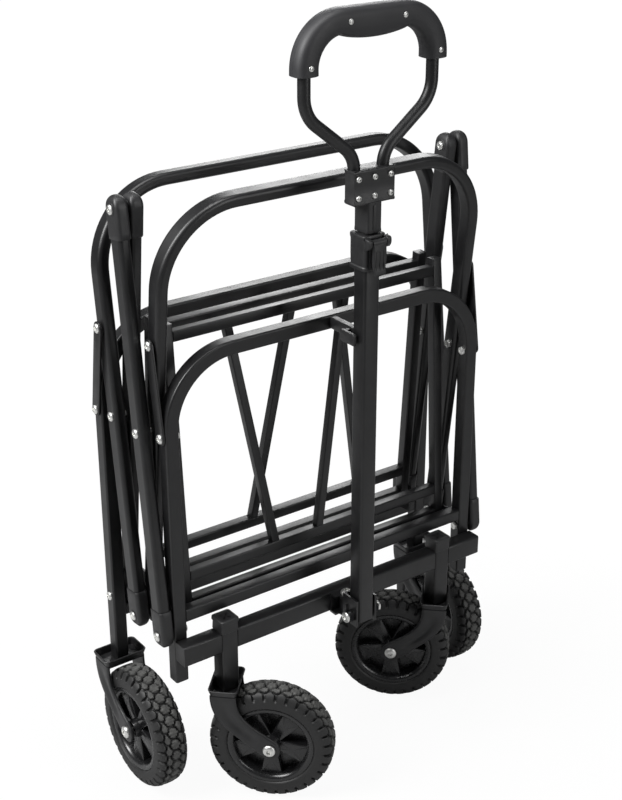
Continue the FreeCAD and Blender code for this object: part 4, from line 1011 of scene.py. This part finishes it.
plate_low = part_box("loop_plates")[0][2]
neck_low, neck_front = top + 1.5 * MM, mast[0] + 15.5 * MM
neck = rounded(30 * MM, 24.5 * MM, 4.5 * MM, 7)
neck_levels = [(1.2 * MM, neck_low), (0.3 * MM, neck_low + 0.6 * MM), (0, neck_low + 1.6 * MM),
               (0.5 * MM, neck_low + 6 * MM), (0.5 * MM, plate_low + 2 * MM)]
tongue = stadium((0, neck_low + 5 * MM), (0, plate_low - 4 * MM), 3.4 * MM)
piece("clamp_neck", [slab(neck, neck_levels, np.array([mast[0] + 0.6 * MM, 0, 0]), X, Y, Z),
                     slab(tongue, edge_levels(-1.5 * MM, 1.3 * MM, 0.6 * MM),
                          np.array([neck_front - 0.6 * MM, 0, 0]), Y, Z, X)],
      "grab_handle", FINISH["moulded_caps"], "moulded_caps")
print("lock:", len(MADE))

# %% [markdown]
# The clamp that joins the tube to the loop is a pair of moulded shells with ends rounded like a
# coin's edge, drawn together by six screws. Each shell is half of a rounded bar seen from above;
# its levels leave a thin lip at the top and the bottom. The screws are pan heads with a hexagon.

# %%
shells = []
for points in solids("loop_plates"):
    low, high, middle = span(points)
    front = middle[0] > mast[0]
    sx, thick, half = (1 if front else -1), high[0] - low[0] - 0.15 * MM, (high[1] - low[1]) / 2
    seat = (low[0] if front else high[0]) + sx * 0.15 * MM
    outline = eased([(0, -half, 0.4 * MM), (sx * thick, -half, 12.5 * MM), (sx * thick, half, 12.5 * MM),
                     (0, half, 0.4 * MM)], 9)
    levels = np.array([(1.6, 0), (0.3, 0.6), (0, 1.4), (0, 3.2), (0.7, 4.2), (0.7, 39.8), (0, 40.8), (0, 42.6),
                       (0.3, 43.4), (1.6, 44)]) * MM
    levels[:, 1] = low[2] + levels[:, 1] * (high[2] - low[2]) / levels[-1, 1]
    shells.append(slab(outline, levels, np.array([seat, 0, 0]), X, Y, Z))
finished("loop_plates", shells)
skins = []
for points in solids("handle_screws"):
    low, high, middle = span(points)
    tall = high[0] - low[0]
    base = np.array([low[0] - 0.9 * MM, middle[1], middle[2]])
    skins.append(dome(base, X, (high[1] - low[1]) / 2, tall + 0.7 * MM, recess=0.42, depth=0.5))
finished("handle_screws", skins)
print("clamp:", len(MADE))

# %% [markdown]
# ## The grip
#
# The grip is two soft shells screwed together round the bent tube. Seen from the front it follows
# the loop's top: up one side, round a corner, across, and down again. Its outline is a rounded
# rectangle on its outer side and flat where the shells meet, and its inner side swells downwards
# in the middle, to fill the palm. The swelling is one flat bow over the straight run, the power 0.8
# of 1 - (across / 1.12)^2, added to the inner half of the outline; it meets the bends at an edge.

# %%
def grip_line(half, low, top, bend, count=96):
    """Points and inward normals of the centre line: two straight sides, two quarter circles and a run
    between them, spaced evenly by length."""
    side, run, arc = top - bend - low, 2 * (half - bend), bend * math.pi / 2
    s = np.linspace(0, 2 * side + run + 2 * arc, count)
    first = np.clip((s - side) / arc, 0, 1) * math.pi / 2
    second = np.clip((s - side - arc - run) / arc, 0, 1) * math.pi / 2
    straight = np.clip(s - side - arc, 0, run)
    y = -half + bend * (1 - np.cos(first)) + straight + bend * np.sin(second)
    z = low + np.minimum(s, side) + bend * np.sin(first) - bend * (1 - np.cos(second))
    z = z - np.maximum(s - side - 2 * arc - run, 0)
    turn = first + second
    inner = np.stack([0 * s, np.cos(turn), -np.sin(turn)], -1)
    return np.stack([0 * s, y, z], -1), inner, (s - s[-1] / 2) / (run / 2)


END_RINGS = ((0.21 * MM, 0.985), (0.54 * MM, 0.94))   # how far below a shell's end, and what share of it


def end_rings(ring, middle):
    """The rings that round off a shell's end: the last ring shrunk towards its middle and lowered."""
    return [middle + (ring - middle) * share - Z * below for below, share in END_RINGS]


grip_box = np.array([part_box("grip_front"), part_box("grip_rear")])
grip_low, grip_high = grip_box[:, 0].min(0), grip_box[:, 1].max(0)
inset, palm, deep = 18 * MM, 15.8 * MM, (grip_high[0] - grip_low[0]) / 2
line, inner, across = grip_line(grip_high[1] - inset, grip_low[2], grip_high[2] - inset, 52 * MM)
line = line + X * (grip_low[0] + grip_high[0]) / 2
swell = 7.5 * MM * np.clip(1 - (across / 1.12) ** 2, 0, 1) ** 0.8
flare = 1 + 0.05 * smooth((np.abs(across) - 2.6) / 0.9)
angle = np.linspace(-math.pi / 2, math.pi / 2, 25)
u = np.sign(np.sin(angle)) * np.abs(np.sin(angle)) ** 0.72
v = np.abs(np.cos(angle)) ** 0.72
stretch = palm * u[None] * flare[:, None] + np.where(u > 0, u, 0)[None] * swell[:, None]
out = 0.1 * MM + (deep - 0.1 * MM) * v[None] * (1 - 0.02 * smooth(np.abs(across))[:, None])
for node, sx in (("grip_front", 1), ("grip_rear", -1)):
    rings = line[:, None] + stretch[..., None] * inner[:, None] + (sx * out)[..., None] * X
    rings = np.concatenate([end_rings(rings[0], line[0])[::-1], rings, end_rings(rings[-1], line[-1])])
    finished(node, [skin(rings)], crease=45)
print("grip:", len(MADE))

# %% [markdown]
# ## The studio
#
# The floor is a plain pale sheet that turns white to the camera: a little shadow is left under the
# wheels and none a metre away. The sky is white to the camera but only a dim grey to the frame, so
# that black paint keeps its depth. What draws black metal is the shape of the lights:
# a tall soft box high on the left for the long highlights down the tubes, a narrow low one on the
# right, one overhead for the tops of the arches and a weak one behind for their edges.

# %%
scene = bpy.context.scene
scene.view_settings.view_transform = "Standard"
scene.view_settings.look = "None"

world = bpy.data.worlds.new("studio")
scene.world = world
world.use_nodes = True
sky = world.node_tree
sky.nodes.clear()
seen = add(sky, "ShaderNodeLightPath").outputs["Is Camera Ray"]
dim = add(sky, "ShaderNodeBackground", {"Color": linear("#e6e8ec"), "Strength": 0.16})
white = add(sky, "ShaderNodeBackground", {"Color": (1, 1, 1, 1), "Strength": 1.0})
both = add(sky, "ShaderNodeMixShader", {0: seen, 1: dim.outputs[0], 2: white.outputs[0]})
add(sky, "ShaderNodeOutputWorld", {"Surface": both.outputs[0]})

floor_material, tree, where = blank("pale floor")
paint = add(tree, "ShaderNodeBsdfDiffuse", {"Color": linear("#b4b4b4")})
glow = add(tree, "ShaderNodeEmission", {"Color": (1, 1, 1, 1), "Strength": 1.02})
seen = add(tree, "ShaderNodeLightPath").outputs["Is Camera Ray"]
far = add(tree, "ShaderNodeVectorMath", {0: where}, operation="LENGTH").outputs["Value"]
white_share = between(tree, far, 0.93, 1.0, 0.35, 1.1)
share = add(tree, "ShaderNodeMath", {0: seen, 1: white_share}, operation="MULTIPLY")
lit = add(tree, "ShaderNodeMixShader", {0: share.outputs[0], 1: paint.outputs[0], 2: glow.outputs[0]})
add(tree, "ShaderNodeOutputMaterial", {"Surface": lit.outputs[0]})
half = 9.0
ground = bpy.data.meshes.new("floor")
ground.from_pydata([(-half, -half, 0), (half, -half, 0), (half, half, 0), (-half, half, 0)], [], [(0, 1, 2, 3)])
ground.materials.append(floor_material)
floor = bpy.data.objects.new("floor", ground)
scene.collection.objects.link(floor)


def softbox(name, azimuth, elevation, distance, wide, tall, watts):
    """A rectangular light that looks at the frame's middle. Azimuth and elevation are counted as the
    camera's are: 0 stands on the -Y side, 90 on the +X side."""
    a, e = math.radians(azimuth), math.radians(elevation)
    back = np.array([math.sin(a) * math.cos(e), -math.cos(a) * math.cos(e), math.sin(e)])
    light = bpy.data.lights.new(name, "AREA")
    light.shape, light.size, light.size_y, light.energy = "RECTANGLE", wide, tall, watts
    holder = bpy.data.objects.new(name, light)
    holder.location = np.array([0, 0, 0.55]) + back * distance
    holder.rotation_euler = (math.pi / 2 - e, 0, a)
    scene.collection.objects.link(holder)


softbox("key, high left", -8, 42, 2.6, 1.0, 1.6, 105)
softbox("fill, right", 112, 18, 2.8, 0.6, 1.8, 22)
softbox("overhead", 60, 84, 2.3, 1.2, 0.9, 28)
softbox("behind", 232, 26, 2.8, 1.2, 1.0, 30)

# %% [markdown]
# The camera stands at chest height in front of the left corner, with a lens a little longer
# than normal.

# %%
lens = bpy.data.cameras.new("camera")
lens.lens, lens.sensor_width, lens.sensor_fit = 66.5, 36, "AUTO"
lens.clip_end = 50
camera = bpy.data.objects.new("camera", lens)
camera.location = (1.5496, -1.1037, 1.3812)
camera.rotation_euler = (math.radians(90 - 24.20), 0, math.radians(54.10))
scene.collection.objects.link(camera)
scene.camera = camera
